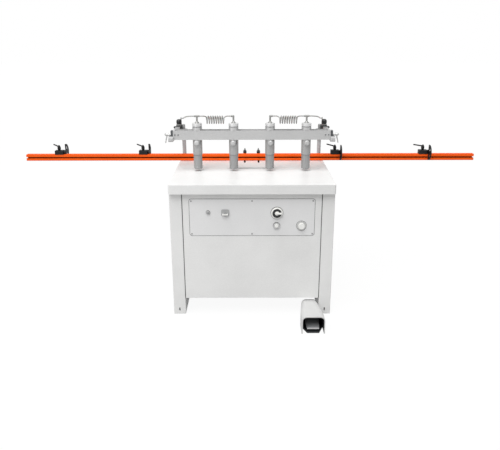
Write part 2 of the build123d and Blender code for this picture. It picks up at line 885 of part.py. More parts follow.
# Feed unit: a cross plate between the side frames with two air cylinders and two guide bushes
with BuildPart() as feed_unit:
    slab(
        both_ways(frame_inner),
        on_spindle_line(feed_plate_depth / 2),
        (feed_plate_height, feed_plate_top),
    )
    for end_side in SIDES.values():
        slab(
            (end_side * (frame_inner - feed_bracket_thickness), end_side * frame_inner),
            on_spindle_line(feed_plate_depth / 2),
            (feed_plate_height - feed_bracket_height, feed_plate_height),
        )
        cylinder_start = (end_side * feed_cylinder_x, spindle_line, feed_plate_top)
        cylinder_length = carrier_bottom - feed_cylinder_gap - feed_plate_top
        rod("z", cylinder_start, feed_cylinder_radius, cylinder_length)
        bush_start = (end_side * guide_x, spindle_line, feed_plate_height - guide_bush_length / 2)
        rod("z", bush_start, guide_bush_radius, guide_bush_length)
    for end_side in SIDES.values():
        bore_start = (end_side * feed_cylinder_x, spindle_line, feed_rod_bottom - sliding_gap)
        bore_length = carrier_bottom - bore_start[2]
        rod("z", bore_start, feed_rod_radius + running_gap, bore_length, mode=Mode.SUBTRACT)
        bush_start = (end_side * guide_x, spindle_line, feed_plate_height - guide_bush_length / 2)
        guide_bore = guide_rod_radius + running_gap
        rod("z", bush_start, guide_bore, guide_bush_length, mode=Mode.SUBTRACT)
    motor_hole = motor_radius + motor_hole_gap
    hole_start = (0, spindle_line, feed_plate_height)
    rod("z", hole_start, motor_hole, feed_plate_thickness, mode=Mode.SUBTRACT)
keep(feed_unit, "feed_unit")

# Columns: round posts that stand on flanges on the table, with a thinner rounded end above the bosses
column_x = half_table - column_inset
column_y = half_depth - column_setback
beam_bottom = table_height + bridge_lift
beam_top = beam_bottom + beam_height
boss_top = beam_bottom + boss_rise
regulator_x = column_x + regulator_offset

with BuildPart() as columns:
    for post_x in both_ways(column_x):
        rod("z", (post_x, column_y, table_height), column_flange_radius, column_flange)
        column_top = boss_top - column_top_drop
        rod("z", (post_x, column_y, table_height), column_radius, column_top - table_height)
        rod("z", (post_x, column_y, column_top), column_neck_radius, column_top_drop + column_neck_rise)
    fillet(columns.faces().group_by(Axis.Z)[-1].edges(), column_neck_round)
keep(columns, "columns")

# Bridge arms: bars from a nose in front of the beam back to a boss on each column
arm_bottom = beam_bottom - arm_drop
arm_top = arm_bottom + arm_height
arm_outer = half_table + arm_width
arm_nose = beam_line - beam_depth / 2 - arm_overhang
arm_tail = column_y - regulator_depth / 2 - sliding_gap
clamp_z = beam_bottom + clamp_rise
clamp_radius = clamp_screw_radius + turning_gap

with BuildPart() as bridge_arms:
    slab((half_table, arm_outer), (arm_nose, arm_tail), (arm_bottom, arm_top))
    fillet(bridge_arms.edges().filter_by(Axis.X).group_by(Axis.Y)[0], arm_nose_round)
    rod("z", (column_x, column_y, boss_top - boss_height), boss_radius, boss_height)
    slab((column_x, arm_outer), (arm_tail, column_y + boss_radius), (boss_top - boss_height, boss_top))
    rib_front = arm_tail - boss_radius
    slab((half_table, arm_outer), (rib_front, arm_tail), (boss_top - boss_height, arm_bottom))
    column_bore_start = (column_x, column_y, boss_top - boss_height)
    rod("z", column_bore_start, column_radius + running_gap, boss_height, mode=Mode.SUBTRACT)
    slab(
        (half_table, half_table + lug_thickness),
        (beam_line - lug_depth / 2, beam_line + lug_depth / 2),
        (arm_top, beam_top - lug_step),
    )
    lug_hole_start = (half_table, beam_line, clamp_z)
    rod("x", lug_hole_start, clamp_radius, lug_thickness, mode=Mode.SUBTRACT)
    mirror(about=Plane.YZ)
keep(bridge_arms, "bridge_arms")

# Bridge beam: a channel that is open at the top and bored for the pressers
presser_places = [-presser_outer, -presser_inner, presser_inner, presser_outer]
neck_radius = beam_depth / 2 - beam_wall - neck_gap

with BuildPart() as bridge_beam:
    slab(
        both_ways(half_table),
        (beam_line - beam_depth / 2, beam_line + beam_depth / 2),
        (beam_bottom, beam_top),
    )
    slab(
        both_ways(half_table - beam_end_wall),
        (beam_line - beam_depth / 2 + beam_wall, beam_line + beam_depth / 2 - beam_wall),
        (beam_bottom + beam_wall, beam_top),
        mode=Mode.SUBTRACT,
    )
    for presser_x in presser_places:
        hole_start = (presser_x, beam_line, beam_bottom)
        rod("z", hole_start, neck_radius + screw_gap, beam_wall, mode=Mode.SUBTRACT)
    for hole_x in (-half_table, half_table - beam_end_wall):
        rod("x", (hole_x, beam_line, clamp_z), clamp_radius, beam_end_wall, mode=Mode.SUBTRACT)
keep(bridge_beam, "bridge_beam")

# Tommy-bar clamp screws that hold the beam ends to the arms
for side_name, side in SIDES.items():
    with BuildPart() as bridge_clamp:
        hub_start = arm_outer + clamp_hub_gap
        shank_start = half_table - beam_end_wall
        rod("x", (shank_start, beam_line, clamp_z), clamp_screw_radius, hub_start - shank_start)
        rod("x", (hub_start, beam_line, clamp_z), clamp_hub_radius, clamp_hub_length)
        cone_start = (hub_start + clamp_hub_length, beam_line, clamp_z)
        with Locations(Plane(cone_start, z_dir=HEADINGS["x"])):
            Cone(clamp_hub_radius, clamp_tip_radius, clamp_tip_length, align=FROM_START)
        bar_root = Vector(hub_start + clamp_hub_length / 2, beam_line, clamp_z)
        bar_tip = bar_root + Vector(tommy_bar_lean, 0, -tommy_bar_drop)
        bar_heading = (bar_tip - bar_root).normalized()
        with BuildSketch(Plane(bar_root, z_dir=bar_heading)):
            Circle(tommy_bar_radius)
        extrude(amount=(bar_tip - bar_root).length)
        with Locations(bar_tip):
            Sphere(tommy_bar_radius)
        if side < 0:
            mirror(about=Plane.YZ, mode=Mode.REPLACE)
    keep(bridge_clamp, f"bridge_clamp_{side_name}")

# Pressers: sleeves under the beam with necks through it and caps on it, and their rams
sleeve_bottom = beam_bottom - sleeve_length
sleeve_bore = ram_radius + sliding_gap
knob_z = beam_bottom - clamp_knob_drop
knob_seat = beam_line - sleeve_radius - clamp_knob_boss

with BuildPart() as presser_cylinders:
    for presser_x in presser_places:
        rod("z", (presser_x, beam_line, sleeve_bottom), sleeve_radius, sleeve_length)
        knob_x = presser_x + math.copysign(clamp_knob_offset, presser_x)
        boss_length = beam_line - knob_seat
        rod("y", (knob_x, knob_seat, knob_z), clamp_knob_boss_radius, boss_length)
        bore_length = sleeve_length - sleeve_crown
        rod("z", (presser_x, beam_line, sleeve_bottom), sleeve_bore, bore_length, mode=Mode.SUBTRACT)
        shank_hole = clamp_shank_radius + screw_gap
        rod("y", (knob_x, knob_seat, knob_z), shank_hole, boss_length, mode=Mode.SUBTRACT)
        split_x = presser_x + split_offset
        slab(
            (split_x, split_x + split_width),
            (beam_line - sleeve_radius, beam_line),
            (knob_z - split_height / 2, knob_z + split_height / 2),
            mode=Mode.SUBTRACT,
        )
        rod("z", (presser_x, beam_line, beam_bottom), neck_radius, beam_height)
        cap_start = (presser_x, beam_line, beam_top)
        rod("z", cap_start, cap_radius - cap_groove_depth, cap_height)
        rod("z", cap_start, cap_radius, cap_groove_height - cap_groove_width / 2)
        upper_cap = beam_top + cap_groove_height + cap_groove_width / 2
        rod("z", (presser_x, beam_line, upper_cap), cap_radius, beam_top + cap_height - upper_cap)
    cap_tops = presser_cylinders.faces().filter_by(Axis.Z).group_by(Axis.Z)[-1]
    fillet(cap_tops.edges(), cap_round)
keep(presser_cylinders, "presser_cylinders")

with BuildPart() as presser_clamp_screws:
    for presser_x in presser_places:
        knob_x = presser_x + math.copysign(clamp_knob_offset, presser_x)
        rod("y", (knob_x, knob_seat - clamp_knob_depth, knob_z), clamp_knob_radius, clamp_knob_depth)
        rod("y", (knob_x, knob_seat, knob_z), clamp_shank_radius, clamp_knob_boss)
    knob_fronts = presser_clamp_screws.faces().filter_by(Axis.Y).group_by(Axis.Y)[0]
    fillet(knob_fronts.edges(), clamp_knob_dome)
keep(presser_clamp_screws, "presser_clamp_screws")

with BuildPart() as presser_rams:
    ram_bottom = table_height + ram_rest_height
    for presser_x in presser_places:
        ram_length = sleeve_bottom + ram_engaged - ram_bottom
        rod("z", (presser_x, beam_line, ram_bottom), ram_radius, ram_length)
    chamfer(presser_rams.faces().filter_by(Axis.Z).group_by(Axis.Z)[0].edges(), ram_edge)
    for presser_x in presser_places:
        hollow_start = (presser_x, beam_line, ram_bottom + ram_foot)
        rod("z", hollow_start, ram_radius - ram_wall, ram_length - ram_foot, mode=Mode.SUBTRACT)
keep(presser_rams, "presser_rams")

# Regulators: blocks on the column bosses, each with a gauge, a hose port and a knob
regulator_half = regulator_width / 2
regulator_top = boss_top + regulator_height
port_x = regulator_x - port_inset_x
port_y = column_y + port_inset_y
port_top = regulator_top + port_height
collar_top = regulator_top + collar_height

with BuildPart() as regulator_bodies:
    slab(
        (regulator_x - regulator_half, regulator_x + regulator_half),
        (column_y - regulator_depth / 2, column_y + regulator_depth / 2),
        (boss_top, regulator_top),
    )
    fillet(regulator_bodies.edges().filter_by(Axis.Z), regulator_corner)
    fillet(regulator_bodies.faces().sort_by(Axis.Z)[-1].edges(), regulator_edge)
    port_root = (port_x, port_y, regulator_top - regulator_edge)
    rod("z", port_root, port_radius, regulator_edge + port_height)
    gauge_x = regulator_x + regulator_half + gauge_radius + gauge_gap
    gauge_z = boss_top + regulator_height / 2
    gauge_y = column_y - regulator_depth / 4
    rod("y", (gauge_x, gauge_y - gauge_depth / 2, gauge_z), gauge_radius, gauge_depth)
    rod("x", (regulator_x, gauge_y, gauge_z), gauge_stub_radius, gauge_x - regulator_x)
    rod("z", (regulator_x, column_y, regulator_top), regulator_stem_radius, regulator_stem)
    mirror(about=Plane.YZ)
keep(regulator_bodies, "regulator_bodies")

knob_bottom = collar_top + sliding_gap
for side_name, side in SIDES.items():
    with BuildPart() as regulator_knob:
        knob_start = (side * regulator_x, column_y, knob_bottom)
        rod("z", knob_start, regulator_knob_radius, regulator_knob_height)
        fillet(regulator_knob.faces().sort_by(Axis.Z)[-1].edges(), regulator_knob_dome)
        fillet(regulator_knob.faces().sort_by(Axis.Z)[0].edges(), regulator_knob_foot)
        with BuildSketch(Plane(knob_start)):
            with PolarLocations(regulator_knob_radius, regulator_knob_flutes):
                Circle(regulator_flute_radius)
        extrude(amount=regulator_knob_height - regulator_knob_dome, mode=Mode.SUBTRACT)
        stem_room = regulator_top + regulator_stem + sliding_gap - knob_bottom
        rod("z", knob_start, regulator_stem_radius + turning_gap, stem_room, mode=Mode.SUBTRACT)
    keep(regulator_knob, f"regulator_knob_{side_name}")

# Air fittings: tees on the outer pressers, elbows on the inner ones, collars under the knobs
cap_top = beam_top + cap_height
hose_z = cap_top + fitting_height
inner_fitting_end = presser_inner + fitting_reach
outer_fitting_end = presser_outer + fitting_reach

with BuildPart() as air_fittings:
    for fitting_x in (presser_inner, presser_outer):
        with Locations((fitting_x, beam_line, cap_top)):
            Cone(fitting_flare_radius, fitting_stem_radius, fitting_flare, align=FROM_START)
        rod("z", (fitting_x, beam_line, cap_top), fitting_stem_radius, fitting_height)
        with Locations((fitting_x, beam_line, hose_z)):
            Sphere(fitting_arm_radius)
    rod("x", (presser_inner, beam_line, hose_z), fitting_arm_radius, fitting_reach)
    outer_fitting_start = presser_outer - fitting_reach
    rod("x", (outer_fitting_start, beam_line, hose_z), fitting_arm_radius, 2 * fitting_reach)
    rod("z", (regulator_x, column_y, regulator_top), collar_radius, collar_height)
    collar_bore = regulator_stem_radius + screw_gap
    rod("z", (regulator_x, column_y, regulator_top), collar_bore, collar_height, mode=Mode.SUBTRACT)
    mirror(about=Plane.YZ)
keep(air_fittings, "air_fittings")

# Coil hoses: one unbroken tube each, wound round a level axis between an elbow and a tee
coil_z = hose_z - coil_radius
coil_start = (presser_inner + presser_outer) / 2 - coil_turns * coil_pitch / 2
lead_turn = 0.25


def on_coil(turns):
    """The point and the heading of the right coil's middle line after a number of turns."""
    angle = 2 * math.pi * turns
    point = Vector(
        coil_start + coil_pitch * turns,
        beam_line - coil_radius * math.sin(angle),
        coil_z + coil_radius * math.cos(angle),
    )
    heading = Vector(
        coil_pitch / (2 * math.pi), -coil_radius * math.cos(angle), -coil_radius * math.sin(angle)
    )
    return point, heading.normalized()


def biarc(start, start_heading, end, end_heading):
    """Draw two tangent arcs that leave start and reach end along the given headings."""
    chord = end - start
    reach = chord.dot(start_heading + end_heading)
    spread = 2 * (1 - start_heading.dot(end_heading))
    handle = (math.sqrt(reach**2 + spread * chord.dot(chord)) - reach) / spread
    near = start + start_heading * handle
    far = end - end_heading * handle
    middle = (near + far) / 2
    TangentArc(start, middle, tangent=start_heading)
    TangentArc(middle, end, tangent=(far - near).normalized())


def least_gap(wire, diameter, apart):
    """The least gap of a tube to itself between points further apart than a length along it."""
    count = coil_turns * coil_gap_samples
    points = [wire.position_at(index / count) for index in range(count + 1)]
    skip = math.ceil(apart / wire.length * count)
    pairs = ((points[i], points[j]) for i in range(count + 1) for j in range(i + skip, count + 1))
    return min((first - second).length for first, second in pairs) - diameter


level = Vector(1, 0, 0)
lead_in = Vector(coil_start - coil_lead, beam_line, hose_z)
lead_out = Vector(coil_start + coil_turns * coil_pitch + coil_lead, beam_line, hose_z)
half_turns = [lead_turn + index / 2 for index in range(2 * coil_turns)]

for side_name, side in SIDES.items():
    with BuildPart() as coil_hose:
        with BuildLine() as coil_route:
            Line((inner_fitting_end, beam_line, hose_z), lead_in)
            biarc(lead_in, level, *on_coil(half_turns[0]))
            for low, high in zip(half_turns, half_turns[1:]):
                biarc(*on_coil(low), *on_coil(high))
            biarc(*on_coil(half_turns[-1]), lead_out, level)
            Line(lead_out, (outer_fitting_start, beam_line, hose_z))
        with BuildSketch(Plane((inner_fitting_end, beam_line, hose_z), z_dir=level)):
            Circle(hose_radius)
        sweep(path=coil_route.wires()[0])
        if side < 0:
            mirror(about=Plane.YZ, mode=Mode.REPLACE)
    keep(coil_hose, f"coil_hose_{side_name}")
coil_wire = coil_route.wires()[0]
print("coil hose length", round(coil_wire.length, 1), "section times length", end=" ")
print(round(math.pi * hose_radius**2 * coil_wire.length), "volume", round(coil_hose.part.volume))
print("coil hose least gap", round(least_gap(coil_wire, 2 * hose_radius, math.pi * coil_radius), 2))

# Supply hoses: from each tee back to the port of the regulator on that side
supply_middle = [
    (434, -20, 1264),
    (453, 48, 1250),
    (471, 130, 1233),
    (489, 215, 1218),
    (505, 293, 1210),
    (515, 345, 1205),
    (519, 384, 1197),
]
supply_points = [
    Vector(outer_fitting_end, beam_line, hose_z),
    Vector(outer_fitting_end + tee_run, beam_line, hose_z),
    *[Vector(*point) for point in supply_middle],
    Vector(port_x, port_y, port_top + port_run),
    Vector(port_x, port_y, port_top),
]
bend_share = 0.45


def corner_radii(points):
    """The largest bend that each corner of a route allows between its two runs."""
    radii = []
    for before, corner, after in zip(points, points[1:], points[2:]):
        run_in = corner - before
        run_out = after - corner
        half_bend = math.radians(run_in.get_angle(run_out)) / 2
        radii.append(bend_share * min(run_in.length, run_out.length) / math.tan(half_bend))
    return radii


supply_radii = corner_radii(supply_points)
print("supply hose radii", [round(radius) for radius in supply_radii])
for side_name, side in SIDES.items():
    with BuildPart() as supply_hose:
        with BuildLine() as supply_route:
            FilletPolyline(*supply_points, radius=supply_radii)
        with BuildSketch(Plane(supply_points[0], z_dir=supply_points[1] - supply_points[0])):
            Circle(hose_radius)
        sweep(path=supply_route.wires()[0])
        if side < 0:
            mirror(about=Plane.YZ, mode=Mode.REPLACE)
    keep(supply_hose, f"supply_hose_{side_name}")
supply_length = supply_route.wires()[0].length
print("supply hose length", round(supply_length, 1), "section times length", end=" ")
print(round(math.pi * hose_radius**2 * supply_length), "volume", round(supply_hose.part.volume))

# Fence rail: a long extrusion with a groove in front and a T-slot on top
fence_back = fence_front + fence_depth
fence_middle = fence_front + fence_depth / 2
fence_bottom = table_height + fence_lift
fence_top = fence_bottom + fence_height
fence_start = fence_offset - fence_length / 2
fence_end = fence_offset + fence_length / 2

with BuildPart() as fence_rail:
    with BuildSketch(Plane.YZ.offset(fence_start)):
        with Locations((fence_middle, fence_bottom + fence_height / 2)):
            RectangleRounded(fence_depth, fence_height, fence_corner)
        with Locations((fence_front, fence_bottom + fence_height / 2)):
            Rectangle(fence_groove_depth, fence_groove, align=(Align.MIN, Align.CENTER), mode=Mode.SUBTRACT)
        with Locations((fence_middle, fence_top)):
            Rectangle(top_slot, top_slot_neck, align=(Align.CENTER, Align.MAX), mode=Mode.SUBTRACT)
        with Locations((fence_middle, fence_top - top_slot_neck)):
            Rectangle(top_slot_head, top_slot_room, align=(Align.CENTER, Align.MAX), mode=Mode.SUBTRACT)
        with Locations((fence_middle, fence_bottom + fence_core_wall)):
            Rectangle(fence_core, fence_core_height, align=(Align.CENTER, Align.MIN), mode=Mode.SUBTRACT)
    extrude(amount=fence_length)
keep(fence_rail, "fence_rail")

# Fence carriage: a block behind the rail with two studs down through the table slots
carriage_bottom = table_height + sliding_gap
carriage_top = carriage_bottom + carriage_height
plate_bottom = table_height - table_plate

with BuildPart() as fence_carriage:
    slab(
        both_ways(carriage_length / 2),
        (fence_back, fence_back + carriage_depth),
        (carriage_bottom, carriage_top),
    )
    fillet(fence_carriage.edges().filter_by(Axis.Z).group_by(Axis.Y)[-1], carriage_corner)
    chamfer(fence_carriage.faces().sort_by(Axis.Z)[-1].edges().group_by(Axis.Y)[-1], carriage_bevel)
    for stud_x in both_ways(fence_stud_x):
        nut_bottom = plate_bottom - sliding_gap - fence_nut_height
        stud_start = (stud_x, fence_stud_y, nut_bottom)
        rod("z", stud_start, fence_stud_radius, carriage_top + fence_stud_rise - nut_bottom)
        rod("z", stud_start, fence_nut_radius, fence_nut_height)
keep(fence_carriage, "fence_carriage")


def clamp_lever(pivot, hub, handle, stud, turn):
    """A clamping lever: a barrel hub on its stud, with a tapered handle that rises from it.

    The hub gives its foot radius, belly radius, belly height, crown radius and height. The handle
    gives its length, root radius, tip radius and rise, and the stud its radius and rise.
    """
    foot_radius, belly_radius, belly_height, crown_radius, hub_height = hub
    handle_length, root_radius, tip_radius, rise = handle
    stud_radius, stud_rise = stud
    with BuildPart() as lever:
        with BuildSketch(Plane(pivot, x_dir=HEADINGS["x"], z_dir=Plane.XZ.z_dir)):
            with BuildLine():
                Polyline((crown_radius, hub_height), (0, hub_height), (0, 0), (foot_radius, 0))
                ThreePointArc((foot_radius, 0), (belly_radius, belly_height), (crown_radius, hub_height))
            make_face()
        revolve(axis=Axis(pivot, HEADINGS["z"]))
        heading = Vector(1, 0, 0).rotate(Axis.Y, -rise).rotate(Axis.Z, turn)
        root = Vector(*pivot) + Vector(0, 0, hub_height - 2 * root_radius)
        tip = root + heading * handle_length
        with BuildSketch(Plane(root, z_dir=heading)):
            Circle(root_radius)
        with BuildSketch(Plane(tip, z_dir=heading)):
            Circle(tip_radius)
        loft()
        with Locations(tip):
            Sphere(tip_radius)
        rod("z", pivot, stud_radius + turning_gap, stud_rise + sliding_gap, mode=Mode.SUBTRACT)
    return lever


for side_name, side in SIDES.items():
    lever_pivot = (side * fence_stud_x, fence_stud_y, carriage_top + sliding_gap)
    fence_lever = clamp_lever(
        lever_pivot,
        (fence_hub_foot, fence_hub_radius, fence_hub_belly, fence_hub_crown, fence_hub_height),
        (fence_handle_length, fence_handle_root, fence_handle_tip, fence_handle_rise),
        (fence_stud_radius, fence_stud_rise),
        fence_handle_turn,
    )
    keep(fence_lever, f"fence_lever_{side_name}")

# Flip stops: blocks that slide in the T-slot, swing arms beside them and clamp levers on top
block_bottom = fence_top + sliding_gap
block_top = block_bottom + stop_block_height
arm_chord = stop_block_depth / 2 + stop_arm_gap
pivot_z = block_bottom + stop_block_height / 2
head_top = fence_top - top_slot_neck - sliding_gap
head_bottom = fence_top - top_slot_neck - top_slot_room + sliding_gap
FRONT, BACK = -1, 1

for number, (stop_x, arm_side, lever_turn) in enumerate(
    (
        (fence_start + stop_1_inset, BACK, stop_1_lever_turn),
        (fence_start + stop_2_inset, BACK, stop_2_lever_turn),
        (fence_end - stop_3_inset, FRONT, stop_3_lever_turn),
        (fence_end - stop_4_inset, FRONT, stop_4_lever_turn),
    ),
    start=1,
):
    block_x = (stop_x - stop_block_left, stop_x + stop_block_right)
    arm_start = block_x[1] + stop_arm_spacing
    with BuildPart() as stop_block:
        slab(
            block_x,
            (fence_middle - stop_block_depth / 2, fence_middle + stop_block_depth / 2),
            (block_bottom, block_top),
        )
        fillet(stop_block.edges().filter_by(Axis.Z), stop_block_corner)
        chamfer(stop_block.faces().sort_by(Axis.Z)[-1].edges(), stop_block_bevel)
        neck_half = top_slot / 2 - sliding_gap
        slab(block_x, (fence_middle - neck_half, fence_middle + neck_half), (head_bottom, block_bottom))
        head_half = top_slot_head / 2 - sliding_gap
        slab(block_x, (fence_middle - head_half, fence_middle + head_half), (head_bottom, head_top))
        rod("z", (stop_x, fence_middle, block_top), stop_stud_radius, stop_stud_rise)
        pin_start = (block_x[1], fence_middle, pivot_z)
        rod("x", pin_start, stop_shoulder_radius, stop_arm_spacing - sliding_gap)
        pin_length = stop_arm_spacing + stop_arm_thickness + sliding_gap
        rod("x", pin_start, stop_pin_radius, pin_length + stop_pin_head)
        head_start = (block_x[1] + pin_length, fence_middle, pivot_z)
        rod("x", head_start, stop_shoulder_radius, stop_pin_head)
    keep(stop_block, f"stop_block_{number}")

    with BuildPart() as stop_arm:
        chord_y = fence_middle + arm_side * arm_chord
        bulge_y = fence_middle + arm_side * stop_arm_reach
        chord_low = (chord_y, pivot_z - stop_arm_half)
        chord_high = (chord_y, pivot_z + stop_arm_half)
        with BuildSketch(Plane.YZ.offset(arm_start)):
            with BuildLine():
                Line(chord_low, chord_high)
                ThreePointArc(chord_high, (bulge_y, pivot_z), chord_low)
            make_face()
            offset(amount=-stop_arm_rim, mode=Mode.SUBTRACT)
            with Locations(((fence_middle + bulge_y) / 2, pivot_z)):
                Rectangle(stop_arm_reach - stop_arm_rim, 2 * stop_web_half)
            with Locations((fence_middle, pivot_z)):
                Circle(stop_web_half)
                Circle(stop_pin_radius + turning_gap, mode=Mode.SUBTRACT)
        extrude(amount=stop_arm_thickness)
    keep(stop_arm, f"stop_arm_{number}")

    stop_lever = clamp_lever(
        (stop_x, fence_middle, block_top + sliding_gap),
        (stop_hub_foot, stop_hub_radius, stop_hub_belly, stop_hub_crown, stop_hub_height),
        (stop_handle_length, stop_handle_root, stop_handle_tip, stop_handle_rise),
        (stop_stud_radius, stop_stud_rise),
        lever_turn,
    )
    keep(stop_lever, f"stop_lever_{number}")
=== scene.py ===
# %% [markdown]
# A multi-spindle boring machine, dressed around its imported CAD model.
# The CAD pieces keep their shapes and places. This script gives them their finishes, adds the small
# parts that make the machine look real, and sets up the camera, the light and the floor.
# Every length is in metres, in the same frame as the CAD: +X to the operator's right, +Y to the back.

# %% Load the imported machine
import json
import math

import bmesh
import bpy
from mathutils import Matrix, Vector


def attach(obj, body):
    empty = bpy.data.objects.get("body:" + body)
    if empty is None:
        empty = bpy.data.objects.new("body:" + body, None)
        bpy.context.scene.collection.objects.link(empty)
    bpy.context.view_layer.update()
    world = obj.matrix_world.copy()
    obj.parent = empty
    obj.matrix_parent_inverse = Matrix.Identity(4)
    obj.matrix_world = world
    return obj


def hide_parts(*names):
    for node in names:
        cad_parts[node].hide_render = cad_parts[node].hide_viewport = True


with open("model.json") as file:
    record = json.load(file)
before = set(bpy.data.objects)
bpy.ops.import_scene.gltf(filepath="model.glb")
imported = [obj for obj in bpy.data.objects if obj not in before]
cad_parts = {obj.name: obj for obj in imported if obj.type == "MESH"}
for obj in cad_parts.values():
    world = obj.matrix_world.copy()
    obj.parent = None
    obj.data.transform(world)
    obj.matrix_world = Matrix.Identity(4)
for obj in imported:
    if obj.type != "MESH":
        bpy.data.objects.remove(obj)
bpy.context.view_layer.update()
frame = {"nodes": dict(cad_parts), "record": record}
nodes = frame["nodes"]
MM = 0.001


# %% [markdown]
# Colours are easiest to judge as sRGB hex values, but shaders work in linear light, so one function
# converts them. A second one adds a shader or geometry node with its settings and links in one call.

# %% Colour and node helpers
def linear(hex_colour):
    """An sRGB hex value as the linear colour that a shader reads."""
    shares = [int(hex_colour[start:start + 2], 16) / 255 for start in (1, 3, 5)]
    toe, slope, lift, power = 0.04045, 12.92, 0.055, 2.4
    return (*[s / slope if s <= toe else ((s + lift) / (1 + lift)) ** power for s in shares], 1.0)


def add(tree, kind, values=None, links=None, **settings):
    """Add a node to a tree, with property settings, input values and links from other sockets."""
    node = tree.nodes.new(kind)
    for name, setting in settings.items():
        setattr(node, name, setting)
    for name, value in (values or {}).items():
        node.inputs[name].default_value = value
    for name, socket in (links or {}).items():
        tree.links.new(socket, node.inputs[name])
    return node


print("mid grey in linear light", round(linear("#808080")[0], 3))


# %% [markdown]
# Most surfaces here are a coating or a moulding: one colour that drifts a little from place to place,
# a roughness that drifts with it, and a fine relief. The relief is a noise whose scale is worked out
# from the real grain in millimetres. A stretch turns the grain into brush or extrusion lines. Painted
# images could do this too, but noise needs no picture and no unwrapping, and never shows a repeat.

# %% A finish with drift and grain
BUMP_STRENGTH = 0.35
DRIFT_SIZE_MM = 260
GRAIN_SHARE = 0.4
GRAIN_DETAIL, DRIFT_DETAIL = 3.0, 4.0
DARK_END, LIGHT_END = 0.36, 0.62
SHEEN_SPREAD = 0.12
# The sockets of a Mix node share their names, so its two numbers and two colours go by position.
NUMBER_A, NUMBER_B = 2, 3
COLOUR_A, COLOUR_B, COLOUR_RESULT = 6, 7, 2


def finish(name, light, dark, roughness, grain_mm, relief_mm, stretch=(1, 1, 1), **shader):
    """A procedural material: colour drift between two hex values, grain of a real size, fine relief."""
    material = bpy.data.materials.new(name)
    material.use_nodes = True
    tree = material.node_tree
    surface = tree.nodes["Principled BSDF"]
    spot = add(tree, "ShaderNodeTexCoord")
    lines = add(tree, "ShaderNodeMapping", {"Scale": stretch}, {"Vector": spot.outputs["Object"]})
    grain = add(tree, "ShaderNodeTexNoise", {"Scale": 1 / (grain_mm * MM), "Detail": GRAIN_DETAIL},
                {"Vector": lines.outputs["Vector"]})
    drift = add(tree, "ShaderNodeTexNoise", {"Scale": 1 / (DRIFT_SIZE_MM * MM), "Detail": DRIFT_DETAIL},
                {"Vector": spot.outputs["Object"]})
    both = add(tree, "ShaderNodeMix", {"Factor": GRAIN_SHARE},
               {NUMBER_A: drift.outputs["Fac"], NUMBER_B: grain.outputs["Fac"]})
    tone = add(tree, "ShaderNodeValToRGB", links={"Fac": both.outputs[0]})
    tone.color_ramp.elements[0].position = DARK_END
    tone.color_ramp.elements[0].color = linear(dark)
    tone.color_ramp.elements[1].position = LIGHT_END
    tone.color_ramp.elements[1].color = linear(light)
    tree.links.new(tone.outputs["Color"], surface.inputs["Base Color"])
    sheen = add(tree, "ShaderNodeMapRange",
                {"From Min": DARK_END, "From Max": LIGHT_END, "To Min": roughness - SHEEN_SPREAD / 2,
                 "To Max": roughness + SHEEN_SPREAD / 2}, {"Value": both.outputs[0]})
    tree.links.new(sheen.outputs["Result"], surface.inputs["Roughness"])
    bump = add(tree, "ShaderNodeBump", {"Strength": BUMP_STRENGTH, "Distance": relief_mm * MM},
               {"Height": grain.outputs["Fac"]})
    tree.links.new(bump.outputs["Normal"], surface.inputs["Normal"])
    for socket, value in shader.items():
        surface.inputs[socket.replace("_", " ")].default_value = value
    return material


print("colours drift over", DRIFT_SIZE_MM, "mm")


# %% Dressing the CAD pieces
def dress(material, *names):
    """Give CAD nodes a finish in place of the plain one that they were packed with."""
    for name in names:
        slots = nodes[name].data.materials
        slots.clear()
        slots.append(material)


print("CAD pieces to dress or replace:", len(nodes))

# %% [markdown]
# The body is folded sheet with an off-white powder coat, which has a faint orange-peel relief and a
# satin sheen. The table is enamelled and rubbed a little smoother, and the control plate is smoother
# still. The real peel is about a millimetre wide and is drawn a few times coarser, so that it shows.
# The table's bevel round its top is painted a shade darker as shade, which outlines the edge.

# %% Painted finishes
# Baked powder coat: even and satin, and its peel softens every highlight.
powder_coat = finish("powder_coat", "#E8E8E7", "#DFDFDE", 0.48, 5, 0.12, IOR=1.5)
# Baked enamel, rubbed down: smoother and whiter, so that the lamps show as soft pools.
table_enamel = finish("table_enamel", "#F0F0EF", "#E9E9E8", 0.38, 7, 0.08, IOR=1.5)
# The same enamel a shade darker, with a sharper sheen: painted shade along the table's bevel.
rubbed_enamel = finish("rubbed_enamel", "#DDDDDC", "#CFCFCD", 0.26, 9, 0.06, IOR=1.5)
# Enamel on flat sheet: the finest relief of all the paints.
plate_enamel = finish("plate_enamel", "#E5E5E5", "#DDDDDD", 0.36, 3, 0.04, IOR=1.5)
# Sprayed grey enamel: satin, with a close peel that shows on the long beam.
bridge_enamel = finish("bridge_enamel", "#C5C5C5", "#BBBBBB", 0.44, 4, 0.1, IOR=1.5)
# Brushed-on primer: chalky, with hardly a highlight.
grey_primer = finish("grey_primer", "#7C7E80", "#6B6D6F", 0.6, 4, 0.12)
# Sprayed blue-grey enamel over castings: some gloss over a lively skin.
motor_enamel = finish("motor_enamel", "#5A6570", "#4B545E", 0.4, 4, 0.1)
# Dark enamel on milled iron: satin, with a fine skin.
charcoal_enamel = finish("charcoal_enamel", "#35393A", "#292D2E", 0.45, 3, 0.1)

dress(powder_coat, "side_frame_left", "side_frame_right", "front_panel", "rear_panel")
dress(plate_enamel, "control_panel")
dress(bridge_enamel, "bridge_beam")
dress(grey_primer, "frame_rails", "feed_unit")
dress(motor_enamel, "drive_motor")
dress(charcoal_enamel, "fence_carriage")
print("materials with the paints:", len(bpy.data.materials))

